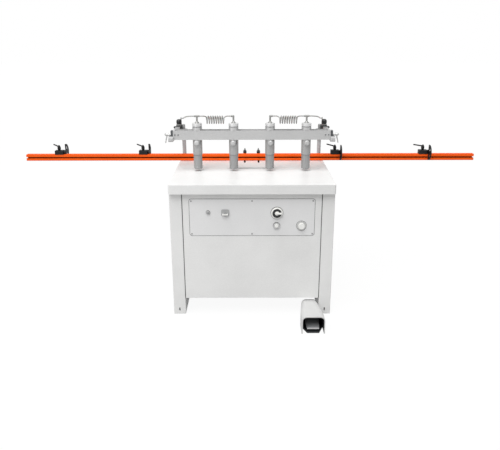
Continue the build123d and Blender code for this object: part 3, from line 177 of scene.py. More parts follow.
# %% [markdown]
# Bare metal is told apart by its machining marks. Ground columns and rams carry fine rings across
# their length, so the grain is squeezed along Z. The presser tubes are matt anodised aluminium with
# paler turned caps, and the small fittings are satin nickel. The fence is an orange anodised
# extrusion with die lines along X. Dyed and matt metal shows little mirror at its edges, so these
# finishes are only partly metallic. Real marks are about a tenth of a millimetre apart and are drawn
# ten times coarser or more, so that they show.

# %% Metal finishes
RINGS_ALONG_Z = (0.15, 0.15, 1.0)
LINES_ALONG_X = (0.02, 1.0, 1.0)

# Ground steel: a full metal, bright, with tight rings.
ground_steel = finish("ground_steel", "#BDBDBC", "#A6A6A5", 0.3, 1.5, 0.03, RINGS_ALONG_Z, Metallic=1.0)
# Hard chrome: it shows the white room so evenly that it looks like a pale, cool coat.
post_chrome = finish("post_chrome", "#C2C9CB", "#B6BDBF", 0.4, 1.5, 0.03, RINGS_ALONG_Z,
                     Specular_IOR_Level=0.6657)
# Turned steel: greyer and duller than ground steel.
ram_steel = finish("ram_steel", "#A0A0A0", "#919191", 0.42, 1.5, 0.03, RINGS_ALONG_Z, Metallic=0.3)
# Matt anodised aluminium: a soft grey that hardly shines.
tube_anodised = finish("tube_anodised", "#ACACAC", "#9E9E9E", 0.5, 2, 0.05, RINGS_ALONG_Z,
                       Metallic=0.25, Specular_IOR_Level=0.3)
# Turned aluminium, fresh on the caps and a shade darker on screws that hands turn. The darker one is
# also painted shade on each cap's foot, just above the beam.
cap_aluminium = finish("cap_aluminium", "#DCDCDC", "#D0D0D0", 0.38, 2, 0.04, RINGS_ALONG_Z,
                       Metallic=0.3)
screw_aluminium = finish("screw_aluminium", "#C6C6C6", "#B9B9B9", 0.38, 2, 0.04, RINGS_ALONG_Z,
                         Metallic=0.3)
# Satin nickel plate: a warm grey with small, soft highlights.
satin_nickel = finish("satin_nickel", "#9A9A98", "#8A8A88", 0.38, 2, 0.02, Metallic=0.35)
# Orange anodised extrusion: a deep colour with die lines and little mirror.
orange_anodised = finish("orange_anodised", "#FF661C", "#F65B14", 0.5, 1.5, 0.03, LINES_ALONG_X,
                         Specular_IOR_Level=0.12)
# Cast iron: dark and rough, with some metal in its sheen.
grey_iron = finish("grey_iron", "#6E7072", "#57595B", 0.55, 2.5, 0.15, Metallic=0.7)
# Blackened tool steel: nearly black, with a narrow highlight.
drill_steel = finish("drill_steel", "#4C4A47", "#3A3836", 0.34, 1.2, 0.03, Metallic=0.8)

dress(ground_steel, "bridge_clamp_left", "bridge_clamp_right")
dress(ram_steel, "panel_screws")
dress(screw_aluminium, "presser_clamp_screws")
dress(satin_nickel, "air_fittings")
dress(grey_iron, "boring_head")
print("materials with the metals:", len(bpy.data.materials))

# %% [markdown]
# The knobs, levers and stops are moulded plastic. Glass-filled nylon has a fine spark-eroded grain
# and a soft sheen, the switch parts are smoother, the treadle is ribbed rubber, and the hose is pale
# polyurethane that lets a little light in. The real grain of the moulds is a tenth or two of a
# millimetre wide and is drawn about ten times coarser, so that it shows.

# %% Moulded finishes
STOPS = 4

# Glass-filled nylon: charcoal, with a grain that spreads each highlight.
charcoal_nylon = finish("charcoal_nylon", "#25282A", "#1A1D1E", 0.5, 1.2, 0.08, IOR=1.53)
# The stops' nylon: blacker and duller, so that they stand out as silhouettes.
stop_nylon = finish("stop_nylon", "#101214", "#08090A", 0.55, 1.2, 0.06, IOR=1.5,
                    Specular_IOR_Level=0.3)
# ABS from a polished mould, black or white: smooth, with clear highlights.
black_abs = finish("black_abs", "#17181A", "#0E0F10", 0.38, 1.5, 0.05, IOR=1.53)
white_abs = finish("white_abs", "#F3F3F0", "#EBEBE7", 0.3, 1.5, 0.03, IOR=1.53)
# ABS from an etched mould: pale grey and satin.
hood_abs = finish("hood_abs", "#D0D0CF", "#C6C6C5", 0.44, 2, 0.06, IOR=1.53)
# Moulded rubber, greyed by shoes: matt.
tread_rubber = finish("tread_rubber", "#909293", "#7C7E7F", 0.62, 1.5, 0.1)
# Extruded polyurethane: pale and slick, with a little light inside.
hose_urethane = finish("hose_urethane", "#B6B6B4", "#A4A4A2", 0.34, 2, 0.02, IOR=1.5,
                       Subsurface_Weight=0.05)

dress(charcoal_nylon, "fence_lever_left", "fence_lever_right", "foot_switch_base")
dress(stop_nylon, *[f"stop_{piece}_{number}" for piece in ("block", "arm", "lever")
                    for number in range(1, STOPS + 1)])
dress(black_abs, "regulator_bodies", "regulator_knob_left", "regulator_knob_right")
dress(white_abs, "start_button", "main_switch_handle", "dial_knob")
dress(tread_rubber, "foot_treadle")
print("materials with the plastics:", len(bpy.data.materials))


# %% [markdown]
# The camera stands in front of the machine, at about head height, and looks slightly down.
# Its place and lens were worked out from the table's height and the way the edges converge. A
# tracking constraint could aim it, but two plain turns, a tilt and a slight roll, match it better.

# %% Camera
LENS_MM = 41.6
SENSOR_MM = 36
CAMERA_PLACE = (-0.013, -3.893, 1.805)
CAMERA_TILT = math.radians(71.4)
CAMERA_ROLL = math.radians(-0.1)
camera_data = bpy.data.cameras.new("camera")
camera_data.lens = LENS_MM
camera_data.sensor_width = SENSOR_MM
camera = bpy.data.objects.new("camera", camera_data)
camera.location = CAMERA_PLACE
aim = Matrix.Rotation(CAMERA_TILT, 3, "X") @ Matrix.Rotation(CAMERA_ROLL, 3, "Z")
camera.rotation_euler = aim.to_euler()
bpy.context.collection.objects.link(camera)
bpy.context.scene.camera = camera
print("camera at", tuple(round(value, 3) for value in camera.location))

# %% [markdown]
# A white studio: the world gives an even light from all round, a broad overhead lamp makes the top
# faces the brightest, and a weaker softbox at the left front lets the machine fall off to the right.
# Camera, mirror and glass rays see the world as plain white, so that the metal shows a white room.

# %% World
WORLD_LIGHT = 0.47
WHITE = (1, 1, 1, 1)


def seen_rays(tree):
    """A socket that is 1 for camera, mirror and glass rays, and 0 for light between surfaces."""
    rays = add(tree, "ShaderNodeLightPath")
    direct = add(tree, "ShaderNodeMath", operation="MAXIMUM",
                 links={0: rays.outputs["Is Camera Ray"], 1: rays.outputs["Is Glossy Ray"]})
    seen = add(tree, "ShaderNodeMath", operation="MAXIMUM",
               links={0: direct.outputs[0], 1: rays.outputs["Is Transmission Ray"]})
    return seen.outputs[0]


world = bpy.data.worlds.new("studio")
world.use_nodes = True
bpy.context.scene.world = world
sky = world.node_tree
sky.nodes.clear()
lighting = add(sky, "ShaderNodeBackground", {"Color": WHITE, "Strength": WORLD_LIGHT})
backdrop = add(sky, "ShaderNodeBackground", {"Color": WHITE, "Strength": 1.0})
choice = add(sky, "ShaderNodeMixShader",
             links={0: seen_rays(sky), 1: lighting.outputs[0], 2: backdrop.outputs[0]})
add(sky, "ShaderNodeOutputWorld", links={"Surface": choice.outputs[0]})
print("world light:", WORLD_LIGHT)

# %% Lamps
OVERHEAD_LIGHT = 2.48
OVERHEAD_SPREAD = 50
OVERHEAD_TURN = (25, -12, 0)
SOFTBOX_WATTS = 5
SOFTBOX_SIZE = 0.9
SOFTBOX_PLACE = Vector((-1.5, -1.7, 1.3))
SOFTBOX_AIM = Vector((0, -0.4, 0.6))

overhead_data = bpy.data.lights.new("overhead", "SUN")
overhead_data.energy = OVERHEAD_LIGHT
overhead_data.angle = math.radians(OVERHEAD_SPREAD)
overhead = bpy.data.objects.new("overhead", overhead_data)
overhead.rotation_euler = [math.radians(turn) for turn in OVERHEAD_TURN]
bpy.context.collection.objects.link(overhead)

softbox_data = bpy.data.lights.new("softbox", "AREA")
softbox_data.energy = SOFTBOX_WATTS
softbox_data.size = SOFTBOX_SIZE
softbox = bpy.data.objects.new("softbox", softbox_data)
softbox.location = SOFTBOX_PLACE
softbox.rotation_euler = (SOFTBOX_AIM - SOFTBOX_PLACE).to_track_quat("-Z", "Y").to_euler()
bpy.context.collection.objects.link(softbox)
print("lamps:", [lamp.name for lamp in bpy.data.lights])

# %% [markdown]
# The floor is plain white where it is seen. It keeps the machine's shadow, but part of it glows like
# a lit studio table, which lightens the shadow. The light that it throws back up is that of a
# greyer floor, so that the upright faces stay darker than the table.

# %% Floor
FLOOR_SIZE = 60
FLOOR_GLOW = 0.94
FLOOR_BOUNCE, FLOOR_WHITE = "#AAAAAA", "#FAFAFA"
floor_paint = bpy.data.materials.new("studio_floor")
floor_paint.use_nodes = True
floor_tree = floor_paint.node_tree
floor_tree.nodes.clear()
floor_seen = seen_rays(floor_tree)
floor_tone = add(floor_tree, "ShaderNodeMix", data_type="RGBA", links={0: floor_seen},
                 values={COLOUR_A: linear(FLOOR_BOUNCE), COLOUR_B: linear(FLOOR_WHITE)})
glow_share = add(floor_tree, "ShaderNodeMath", {1: FLOOR_GLOW}, {0: floor_seen}, operation="MULTIPLY")
matt_white = add(floor_tree, "ShaderNodeBsdfDiffuse",
                 links={"Color": floor_tone.outputs[COLOUR_RESULT]})
glow = add(floor_tree, "ShaderNodeEmission", {"Color": WHITE, "Strength": 1.0})
sweep = add(floor_tree, "ShaderNodeMixShader",
            links={0: glow_share.outputs[0], 1: matt_white.outputs[0], 2: glow.outputs[0]})
add(floor_tree, "ShaderNodeOutputMaterial", links={"Surface": sweep.outputs[0]})
floor_mesh = bpy.data.meshes.new("floor")
half_floor = FLOOR_SIZE / 2
floor_mesh.from_pydata([(-half_floor, -half_floor, 0), (half_floor, -half_floor, 0),
                        (half_floor, half_floor, 0), (-half_floor, half_floor, 0)], [], [(0, 1, 2, 3)])
floor_mesh.materials.append(floor_paint)
floor = bpy.data.objects.new("floor", floor_mesh)
bpy.context.collection.objects.link(floor)
bpy.context.scene.view_settings.view_transform = "Standard"
print("floor of", FLOOR_SIZE, "m, view transform", bpy.context.scene.view_settings.view_transform)

# %% [markdown]
# The air hoses are 8 mm polyurethane tube. Each is one smooth NURBS line with a round bevel, so it
# keeps its real length. The supply hose follows its route's points from the tee to the regulator.
# The coil between two pressers is the same tube wound eight times, given as points round a helix. A
# swept mesh would look the same, but a curve keeps the middle line along which its length is measured.

# %% A hose as a curve
HOSE_RADIUS = 4 * MM
TUBE_ROUNDNESS, TUBE_SMOOTHNESS, LINE_ORDER = 5, 6, 3


def tube_line(name, points):
    """A curve object whose smooth line has the given control points."""
    data = bpy.data.curves.new(name, "CURVE")
    data.dimensions = "3D"
    data.bevel_depth = HOSE_RADIUS
    data.bevel_resolution = TUBE_ROUNDNESS
    data.resolution_u = TUBE_SMOOTHNESS
    data.use_fill_caps = True
    line = data.splines.new("NURBS")
    line.points.add(len(points) - 1)
    for point, spot in zip(line.points, points):
        point.co = (*spot, 1.0)
    line.order_u = LINE_ORDER
    line.use_endpoint_u = True
    data.materials.append(hose_urethane)
    tube = bpy.data.objects.new(name, data)
    bpy.context.collection.objects.link(tube)
    return tube


print("hose of", round(2 * HOSE_RADIUS / MM, 1), "mm")


# %% Points round a coil
HOSE_TOP = 1.269
BEAM_LINE = -0.040
INNER_END, OUTER_START, OUTER_END = 0.1365, 0.349, 0.379
COIL_RADIUS = 24 * MM
COIL_PITCH = 15.4 * MM
COIL_TURNS = 8
COIL_MIDDLE = 0.24275
COIL_LEAD = 12 * MM
POINTS_PER_TURN = 16
# The straight leads take the place of the first and the last eighth of a turn.
LEAD_STEPS = POINTS_PER_TURN // 8


def coil_points(side):
    """Control points from the elbow, round the coil and on to the tee."""
    start = COIL_MIDDLE - COIL_TURNS * COIL_PITCH / 2
    # A smooth line cuts a little inside its points, so they stand a little further out.
    wide = COIL_RADIUS / math.cos(math.pi / POINTS_PER_TURN) ** 0.5
    points = [(INNER_END, BEAM_LINE, HOSE_TOP), (start - 2 * COIL_LEAD, BEAM_LINE, HOSE_TOP),
              (start - COIL_LEAD, BEAM_LINE, HOSE_TOP)]
    for step in range(LEAD_STEPS, COIL_TURNS * POINTS_PER_TURN - LEAD_STEPS + 1):
        angle = 2 * math.pi * step / POINTS_PER_TURN
        points.append((start + COIL_PITCH * step / POINTS_PER_TURN, BEAM_LINE - wide * math.sin(angle),
                       HOSE_TOP - COIL_RADIUS + wide * math.cos(angle)))
    end = start + COIL_TURNS * COIL_PITCH
    points += [(end + COIL_LEAD, BEAM_LINE, HOSE_TOP), (end + 2 * COIL_LEAD, BEAM_LINE, HOSE_TOP),
               (OUTER_START, BEAM_LINE, HOSE_TOP)]
    return [(side * x, y, z) for x, y, z in points]


print("points along a coil:", len(coil_points(side=1)))

# %% Coil hoses
SIDES = {"left": -1, "right": 1}
for side_name, side in SIDES.items():
    coil = tube_line(f"coil_tube_{side_name}", coil_points(side))
    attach(coil, "bridge")
    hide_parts(f"coil_hose_{side_name}")
print("coil hoses:", COIL_TURNS, "turns each")

# %% Supply hoses
SUPPLY_ROUTE = [
    (OUTER_END, BEAM_LINE, HOSE_TOP),
    (0.404, BEAM_LINE, HOSE_TOP),
    (0.434, -0.020, 1.264),
    (0.453, 0.048, 1.250),
    (0.471, 0.130, 1.233),
    (0.489, 0.215, 1.218),
    (0.505, 0.293, 1.210),
    (0.515, 0.345, 1.205),
    (0.519, 0.384, 1.197),
    (0.520, 0.394, 1.166),
    (0.520, 0.394, 1.150),
]
for side_name, side in SIDES.items():
    supply = tube_line(f"supply_tube_{side_name}", [(side * x, y, z) for x, y, z in SUPPLY_ROUTE])
    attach(supply, "bridge")
    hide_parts(f"supply_hose_{side_name}")
print("supply hoses:", len(SUPPLY_ROUTE), "points each")


# %% [markdown]
# Some CAD nodes hold two finishes or more, such as a grey dome with a white bar. An image laid on the
# shape could show them, but it would need unwrapping and its borders would blur. So a copy of the node
# takes its place, and a rule on each face's middle and direction says which finish the face gets. The
# copy is merged first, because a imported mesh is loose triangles, and sharp edges are marked by angle.

# %% A finished piece
SHARP_ANGLE = math.radians(32)


def place(name, mesh, body, slot, *materials):
    """Link a finished mesh as a piece that rides on a body. The slot is not used."""
    for material in materials:
        mesh.materials.append(material)
    mesh.shade_smooth()
    mesh.set_sharp_from_angle(angle=SHARP_ANGLE)
    piece = bpy.data.objects.new(name, mesh)
    bpy.context.collection.objects.link(piece)
    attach(piece, body)
    return piece


print("edges stay sharp from", round(math.degrees(SHARP_ANGLE)), "degrees")

# %% Copies of CAD nodes
MERGE_DISTANCE = 0.002 * MM
PACKED_NORMALS = "custom_normal"
bodies = frame["record"]["behaviour"]["bodies"]
body_of = {node: body for body, members in bodies.items() for node in members}
slot_of = {entry["node"]: entry["material_slot"] for entry in frame["record"]["subparts"]}


def two_tone(node, name, finishes, choose):
    """Replace a CAD node by a merged copy whose faces choose among several finishes."""
    shape = bmesh.new()
    shape.from_mesh(nodes[node].data)
    bmesh.ops.remove_doubles(shape, verts=shape.verts, dist=MERGE_DISTANCE)
    for face in shape.faces:
        face.material_index = choose(face.calc_center_median(), face.normal)
    mesh = bpy.data.meshes.new(name)
    shape.to_mesh(mesh)
    shape.free()
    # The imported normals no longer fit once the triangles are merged.
    if PACKED_NORMALS in mesh.attributes:
        mesh.attributes.remove(mesh.attributes[PACKED_NORMALS])
    piece = place(name, mesh, body_of[node], slot_of[node], *finishes)
    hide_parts(node)


print("bodies with pieces:", len(bodies))


# %% [markdown]
# On the control plate every switch stands on a pale bezel whose sides are painted darker, as shade. The
# lamp has a grey lens, the selector a white bar on a grey dome, and the main switch a white disc that
# gets a black ring later. The foot switch's hood is pale outside, and its inside is painted black as
# shade, so its mouth looks very dark. These faces differ in where they lie and which way they point,
# so that is all that a rule asks.

# %% Finishes of the controls
# ABS from polished moulds in three greys: a pale front, a silver plate, and dark sides that are
# painted shade.
bezel_abs = finish("bezel_abs", "#CDCDCC", "#C3C3C2", 0.34, 1.5, 0.03, IOR=1.53)
silver_abs = finish("silver_abs", "#AEAFAF", "#A3A4A4", 0.36, 1.5, 0.03, IOR=1.53)
grey_abs = finish("grey_abs", "#6B6C6D", "#5D5E5F", 0.45, 1.5, 0.03, IOR=1.53)
# Moulded acrylic: unlit grey, glossy under a clear skin.
lens_acrylic = finish("lens_acrylic", "#9A9B9B", "#8C8D8D", 0.16, 3, 0.02, IOR=1.49, Coat_Weight=0.5)
print("materials with the controls:", len(bpy.data.materials))

# %% Rules for controls and hood
CONTROL_FACE = -0.400
SELECTOR_Z = 0.703
SELECTOR_BAR_HALF = 4.1 * MM
SELECTOR_BAR_BACK = CONTROL_FACE - 5 * MM
LAMP_EDGE_X = -0.25
LAMP_RING_FRONT = CONTROL_FACE - 5.1 * MM
MAIN_RING_LOW = 0.665
HOOD_MIDDLE = Vector((0.383, 0, 0.030))
HOOD_BACK_INSIDE = -0.42
HOOD_FLOOR = 20 * MM
# How far a face's direction goes along an axis: square to it, nearly square, or hardly at all.
SQUARE, STRAIGHT, UPRIGHT = 0.999, 0.9, 0.2


def bezel_face(middle, facing):
    """0 for a front, 1 for a side, painted dark as shade, 2 for the lamp's lens, 3 for the main ring, 4
    for the selector.
    """
    if middle.x < LAMP_EDGE_X and middle.y < LAMP_RING_FRONT:
        return 2
    if facing.y > -STRAIGHT:
        return 1
    if middle.x > 0:
        return 3 if middle.z > MAIN_RING_LOW else 0
    return 4 if middle.x > LAMP_EDGE_X else 0


def selector_face(middle, facing):
    """1 for a face of the bar across the dome, 0 for the dome."""
    flat = max(abs(facing.x), abs(facing.z), -facing.y) > STRAIGHT
    on_bar = abs(middle.z - SELECTOR_Z) < SELECTOR_BAR_HALF and middle.y < SELECTOR_BAR_BACK
    return int(flat and on_bar)


def hood_inside_shade(middle, facing):
    """1 for a face on the inside of the hood, painted black as shade, 0 for one outside."""
    if facing.y < -STRAIGHT:
        return int(middle.y > HOOD_BACK_INSIDE)
    outward = Vector((middle.x - HOOD_MIDDLE.x, 0, middle.z - HOOD_MIDDLE.z))
    under = facing.z < -UPRIGHT and middle.z > HOOD_FLOOR
    return int(under or facing.dot(outward) < 0 and facing.z > -SQUARE)


print("control face at y", CONTROL_FACE)

# %% Controls and hood
# The bezels' sides are painted dark grey as shade.
two_tone("switch_bezels", "switch_rings",
         [bezel_abs, grey_abs, lens_acrylic, white_abs, silver_abs], bezel_face)
two_tone("selector_knob", "selector_dome", [lens_acrylic, white_abs], selector_face)
# The hood's inside is painted black as shade.
two_tone("foot_switch_hood", "foot_switch_shell", [hood_abs, charcoal_nylon], hood_inside_shade)
print("two-tone controls: bezels, selector, hood")

# %% [markdown]
# The pressers have pale turned caps above grey tubes. Each cap's groove and foot are painted darker as
# shade, and so are the rams' lower edges. The thin ends of the columns are left as turned, and so are
# duller than the ground part that the bridge slides on. The fence is painted darker inside its groove,
# as shade. The table's bevel and skirt are painted a shade darker than its top, and the arms' level
# tops grey, as shade. The boring bits are blackened steel in bright chucks, and show when the head has
# risen through the slot. All of this follows from where a face lies and how it faces.

# %% Finishes of painted shade on caps, feet, groove, skirt and arm tops, and of the lugs
# A dull dark grey: painted shade in the caps' grooves and on the rams' lower edges, and dark grey on
# the arms' lugs.
pad_rubber = finish("pad_rubber", "#55575A", "#484A4C", 0.5, 2, 0.03)
# Orange anodised aluminium, browner and duller: painted shade inside the fence's groove.
groove_anodised = finish("groove_anodised", "#CC521A", "#B84512", 0.55, 1.5, 0.03, LINES_ALONG_X,
                         Specular_IOR_Level=0.12)
# Baked enamel as it left the gun, painted darker as shade: a little on the table's skirt, and grey on
# the arms' level tops.
skirt_enamel = finish("skirt_enamel", "#E8E8E7", "#E1E1E0", 0.4, 7, 0.08, IOR=1.5)
arm_enamel = finish("arm_enamel", "#A2A2A2", "#979797", 0.48, 4, 0.1, IOR=1.5)
print("materials with the shade_finishes:", len(bpy.data.materials))

# %% Rules for pressers and fence
BEAM_TOP = 1.1781
CAP_GROOVE = (1.1985, 1.2035)
CAP_RADIUS = 31.0 * MM
PRESSER_X = (-0.364, -0.1215, 0.1215, 0.364)
FENCE_FACE = min(corner[1] for corner in nodes["fence_rail"].bound_box) + 0.5 * MM
FENCE_GROOVE = (0.9185, 0.9305)


def presser_face(middle, facing):
    """1 for a cap, 2 for the groove round it, 3 for its foot, 0 for the tube below. The groove and foot
    are painted darker as shade.
    """
    if middle.z < BEAM_TOP:
        return 0
    off_axis = min(math.hypot(middle.x - x, middle.y - BEAM_LINE) for x in PRESSER_X)
    if CAP_GROOVE[0] < middle.z < CAP_GROOVE[1] and off_axis < CAP_RADIUS:
        return 2
    return 1 if middle.z > CAP_GROOVE[0] else 3


def fence_face(middle, facing):
    """1 for a wall of the groove in the fence's front, painted darker as shade, 0 for the rest."""
    inside = middle.y > FENCE_FACE and FENCE_GROOVE[0] < middle.z < FENCE_GROOVE[1]
    return int(inside and abs(facing.x) < STRAIGHT)


print("pressers at x", PRESSER_X, "and the fence's face at y", round(FENCE_FACE, 4))

# %% Rules for table and arms
TABLE_SKIRT = 0.8985
LUG_FOOT = 1.1392


def table_face(middle, facing):
    """1 for the bevel round the top, 2 for the skirt, both painted darker as shade, 0 for the rest."""
    if middle.z > TABLE_SKIRT and UPRIGHT < facing.z < STRAIGHT:
        return 1
    return 2 if abs(facing.z) < UPRIGHT else 0


def arm_face(middle, facing):
    """1 for a level top, painted grey as shade, 2 for the lugs that take the clamp screws, 0 for the
    rest.
    """
    if middle.z > LUG_FOOT and middle.y < 0:
        return 2
    return int(facing.z > STRAIGHT)


print("table's skirt below z", TABLE_SKIRT, "and the arms' lugs above z", LUG_FOOT)

# %% Pressers, fence, table and arms
RAM_FOOT, RAM_FOOT_SLOPE = 0.9206, -0.3
COLUMN_NECK = 1.1155
CHUCK_TOP = 0.8302
SPINDLES = 9
two_tone("presser_cylinders", "presser_tubes",
         [tube_anodised, cap_aluminium, pad_rubber, screw_aluminium], presser_face)
# The rams' lower edges and undersides are painted dark grey as shade, where they stand.
two_tone("presser_rams", "presser_feet", [ram_steel, pad_rubber],
         lambda middle, facing: int(middle.z < RAM_FOOT and facing.z < RAM_FOOT_SLOPE))
two_tone("columns", "bridge_posts", [post_chrome, ram_steel],
         lambda middle, facing: int(middle.z > COLUMN_NECK))
two_tone("fence_rail", "fence_extrusion", [orange_anodised, groove_anodised], fence_face)
two_tone("table_top", "table_slab", [table_enamel, rubbed_enamel, skirt_enamel], table_face)
two_tone("bridge_arms", "bridge_sides", [bridge_enamel, arm_enamel, pad_rubber], arm_face)
for number in range(1, SPINDLES + 1):
    two_tone(f"spindle_{number}", f"boring_tool_{number}", [ground_steel, drill_steel],
             lambda middle, facing: int(middle.z > CHUCK_TOP))
print("two-tone pieces: pressers, rams, columns, fence, table, arms, spindles")


# %% [markdown]
# Screws, nuts, collars, ticks, louvres and ribs repeat, so geometry nodes make them. A tree takes a
# mesh that is only points, puts one small piece on each, and ends in plain faces with a finish. Its
# sizes are named inputs, which are set by identifier before the object is first evaluated. Copies
# placed one by one would look the same, but here one list of places and a few sizes say it all.

# %% Starting and ending a tree
def start_tree(name, sizes):
    """A new geometry tree with places, named sizes and a finish as its inputs."""
    tree = bpy.data.node_groups.new(name, "GeometryNodeTree")
    tree.interface.new_socket("Places", in_out="INPUT", socket_type="NodeSocketGeometry")
    for size, kind in sizes.items():
        tree.interface.new_socket(size, in_out="INPUT", socket_type=kind)
    tree.interface.new_socket("Turn", in_out="INPUT", socket_type="NodeSocketRotation")
    tree.interface.new_socket("Finish", in_out="INPUT", socket_type="NodeSocketMaterial")
    tree.interface.new_socket("Pieces", in_out="OUTPUT", socket_type="NodeSocketGeometry")
    return tree, tree.nodes.new("NodeGroupInput").outputs


def end_tree(tree, given, piece):
    """Put a piece on every place, turn it, make it plain faces and give it the finish."""
    copies = add(tree, "GeometryNodeInstanceOnPoints",
                 links={"Points": given["Places"], "Instance": piece, "Rotation": given["Turn"]})
    plain = add(tree, "GeometryNodeRealizeInstances", links={"Geometry": copies.outputs[0]})
    painted = add(tree, "GeometryNodeSetMaterial",
                  links={"Geometry": plain.outputs[0], "Material": given["Finish"]})
    add(tree, "NodeGroupOutput", links={"Pieces": painted.outputs[0]})


LENGTH, COUNT = "NodeSocketFloat", "NodeSocketInt"
print("tree inputs besides the sizes: places, turn, finish")


# %% Running a tree
def run_tree(tree, name, places, body, slot, **inputs):
    """Run a tree on points and keep what it makes as one plain mesh that rides on a body."""
    points = bpy.data.meshes.new(name)
    points.from_pydata([tuple(point) for point in places], [], [])
    holder = bpy.data.objects.new(name, points)
    bpy.context.collection.objects.link(holder)
    modifier = holder.modifiers.new(tree.name, "NODES")
    modifier.node_group = tree
    for socket in tree.interface.items_tree:
        key = socket.name.replace(" ", "_").lower()
        if socket.in_out == "INPUT" and key in inputs:
            modifier[socket.identifier] = inputs[key]
    made = holder.evaluated_get(bpy.context.evaluated_depsgraph_get())
    mesh = bpy.data.meshes.new_from_object(made)
    mesh.name = f"{name}_mesh"
    bpy.data.objects.remove(holder)
    place(name, mesh, body, slot)


QUARTER = math.radians(90)
FACING = {"front": (QUARTER, 0, 0), "back": (-QUARTER, 0, 0),
          "right": (0, QUARTER, 0), "left": (0, -QUARTER, 0)}
print("pieces can face", list(FACING))

# %% [markdown]
# A screw head is a cone frustum, so that its rim has a little draft, with a socket sunk in its top:
# the top face is drawn in without moving and then pushed down. Six sides make a hexagon head.

# %% Screw tree
screw_tree, given = start_tree("screw_heads", {
    "Sides": COUNT, "Head Radius": LENGTH, "Crown Radius": LENGTH, "Head Height": LENGTH,
    "Socket Share": LENGTH, "Socket Depth": LENGTH})
head = add(screw_tree, "GeometryNodeMeshCone",
           links={"Vertices": given["Sides"], "Radius Bottom": given["Head Radius"],
                  "Radius Top": given["Crown Radius"], "Depth": given["Head Height"]})
rim = add(screw_tree, "GeometryNodeExtrudeMesh", {"Offset Scale": 0.0},
          {"Mesh": head.outputs["Mesh"], "Selection": head.outputs["Top"]}, mode="FACES")
mouth = add(screw_tree, "GeometryNodeScaleElements",
            links={"Geometry": rim.outputs["Mesh"], "Selection": rim.outputs["Top"],
                   "Scale": given["Socket Share"]})
depth = add(screw_tree, "ShaderNodeMath", {1: -1.0}, {0: given["Socket Depth"]}, operation="MULTIPLY")
socket = add(screw_tree, "GeometryNodeExtrudeMesh", mode="FACES",
             links={"Mesh": mouth.outputs[0], "Selection": rim.outputs["Top"],
                    "Offset Scale": depth.outputs[0]})
end_tree(screw_tree, given, socket.outputs["Mesh"])
print("screw tree:", len(screw_tree.nodes), "nodes")

# %% [markdown]
# Nuts, collars and bezel rings are the same thing with other numbers: an outline with a bore, drawn
# as two circles, filled between and raised. The underside is a flipped copy, so the ring is closed.

# %% Ring tree
ring_tree, given = start_tree("bored_rings", {
    "Sides": COUNT, "Outer Radius": LENGTH, "Bore Radius": LENGTH, "Height": LENGTH})
BORE_SIDES = 32
outer = add(ring_tree, "GeometryNodeCurvePrimitiveCircle",
            links={"Resolution": given["Sides"], "Radius": given["Outer Radius"]})
bore = add(ring_tree, "GeometryNodeCurvePrimitiveCircle", {"Resolution": BORE_SIDES},
           {"Radius": given["Bore Radius"]})
outlines = add(ring_tree, "GeometryNodeJoinGeometry", links={"Geometry": outer.outputs[0]})
ring_tree.links.new(bore.outputs[0], outlines.inputs["Geometry"])
sheet = add(ring_tree, "GeometryNodeFillCurve", links={"Curve": outlines.outputs[0]})
raised = add(ring_tree, "GeometryNodeExtrudeMesh", {"Individual": False},
             {"Mesh": sheet.outputs[0], "Offset Scale": given["Height"]}, mode="FACES")
underside = add(ring_tree, "GeometryNodeFlipFaces", links={"Mesh": sheet.outputs[0]})
closed = add(ring_tree, "GeometryNodeJoinGeometry", links={"Geometry": raised.outputs["Mesh"]})
ring_tree.links.new(underside.outputs[0], closed.inputs["Geometry"])
merged = add(ring_tree, "GeometryNodeMergeByDistance", {"Distance": MERGE_DISTANCE},
             {"Geometry": closed.outputs[0]})
end_tree(ring_tree, given, merged.outputs[0])
print("ring tree:", len(ring_tree.nodes), "nodes")


# %% [markdown]
# Each switch sits on a thin black ring that shows as a dark line round its bezel: painted shade, for
# the shaded side of the bezel. The main switch has a black ring on its white disc, which turns with
# it. A line could be painted on, but a real ring has a small height and throws its own shadow. All are
# bored rings, so the ring tree makes them from a short table of sizes.

# %% Rings round the controls
SHADE_LINE_HEIGHT = 0.6 * MM
ROUND_SIDES = 64
MAIN_SWITCH = Vector((0.158, CONTROL_FACE, 0.710))
START_BUTTON = Vector((0.156, CONTROL_FACE, 0.626))
DIAL = Vector((0.315, CONTROL_FACE, 0.624))
PILOT_LAMP = Vector((-0.279, CONTROL_FACE, 0.713))
# Each dark ring's middle, and its bore and outer radius in millimetres. The black rings are painted
# shade round the bezels.
SHADE_LINES = {"main_switch": (MAIN_SWITCH, 37.9, 39.9), "start_button": (START_BUTTON, 20.4, 22.1),
           "dial": (DIAL, 31.9, 33.5), "pilot_lamp": (PILOT_LAMP, 12.9, 14.3)}
for control, (middle, bore_mm, outer_mm) in SHADE_LINES.items():
    run_tree(ring_tree, f"{control}_gasket", [middle], "machine_frame", "black_plastic",
             turn=FACING["front"], sides=ROUND_SIDES, outer_radius=outer_mm * MM,
             bore_radius=bore_mm * MM, height=SHADE_LINE_HEIGHT, finish=black_abs)

DISC_FRONT = Vector((MAIN_SWITCH.x, -0.4123, MAIN_SWITCH.z))
run_tree(ring_tree, "main_switch_ring", [DISC_FRONT], "main_switch", "black_plastic",
         turn=FACING["front"], sides=ROUND_SIDES, outer_radius=29.4 * MM, bore_radius=14.0 * MM,
         height=0.5 * MM, finish=black_abs)
print("shade_lines:", len(SHADE_LINES))

# %% [markdown]
# A bar is a plain box, which serves for strips, ribs and lips. A scale is a row of such bars laid
# along an arc: the curve's own rotation turns each bar, so that its long side points to the middle.
# The dial has eleven ticks and each gauge has nine. They could be placed one by one, but an arc with
# a start and a sweep keeps them even.

# %% Bar and scale trees
bar_tree, given = start_tree("bars", {"Size": "NodeSocketVector"})
bar = add(bar_tree, "GeometryNodeMeshCube", links={"Size": given["Size"]})
end_tree(bar_tree, given, bar.outputs["Mesh"])

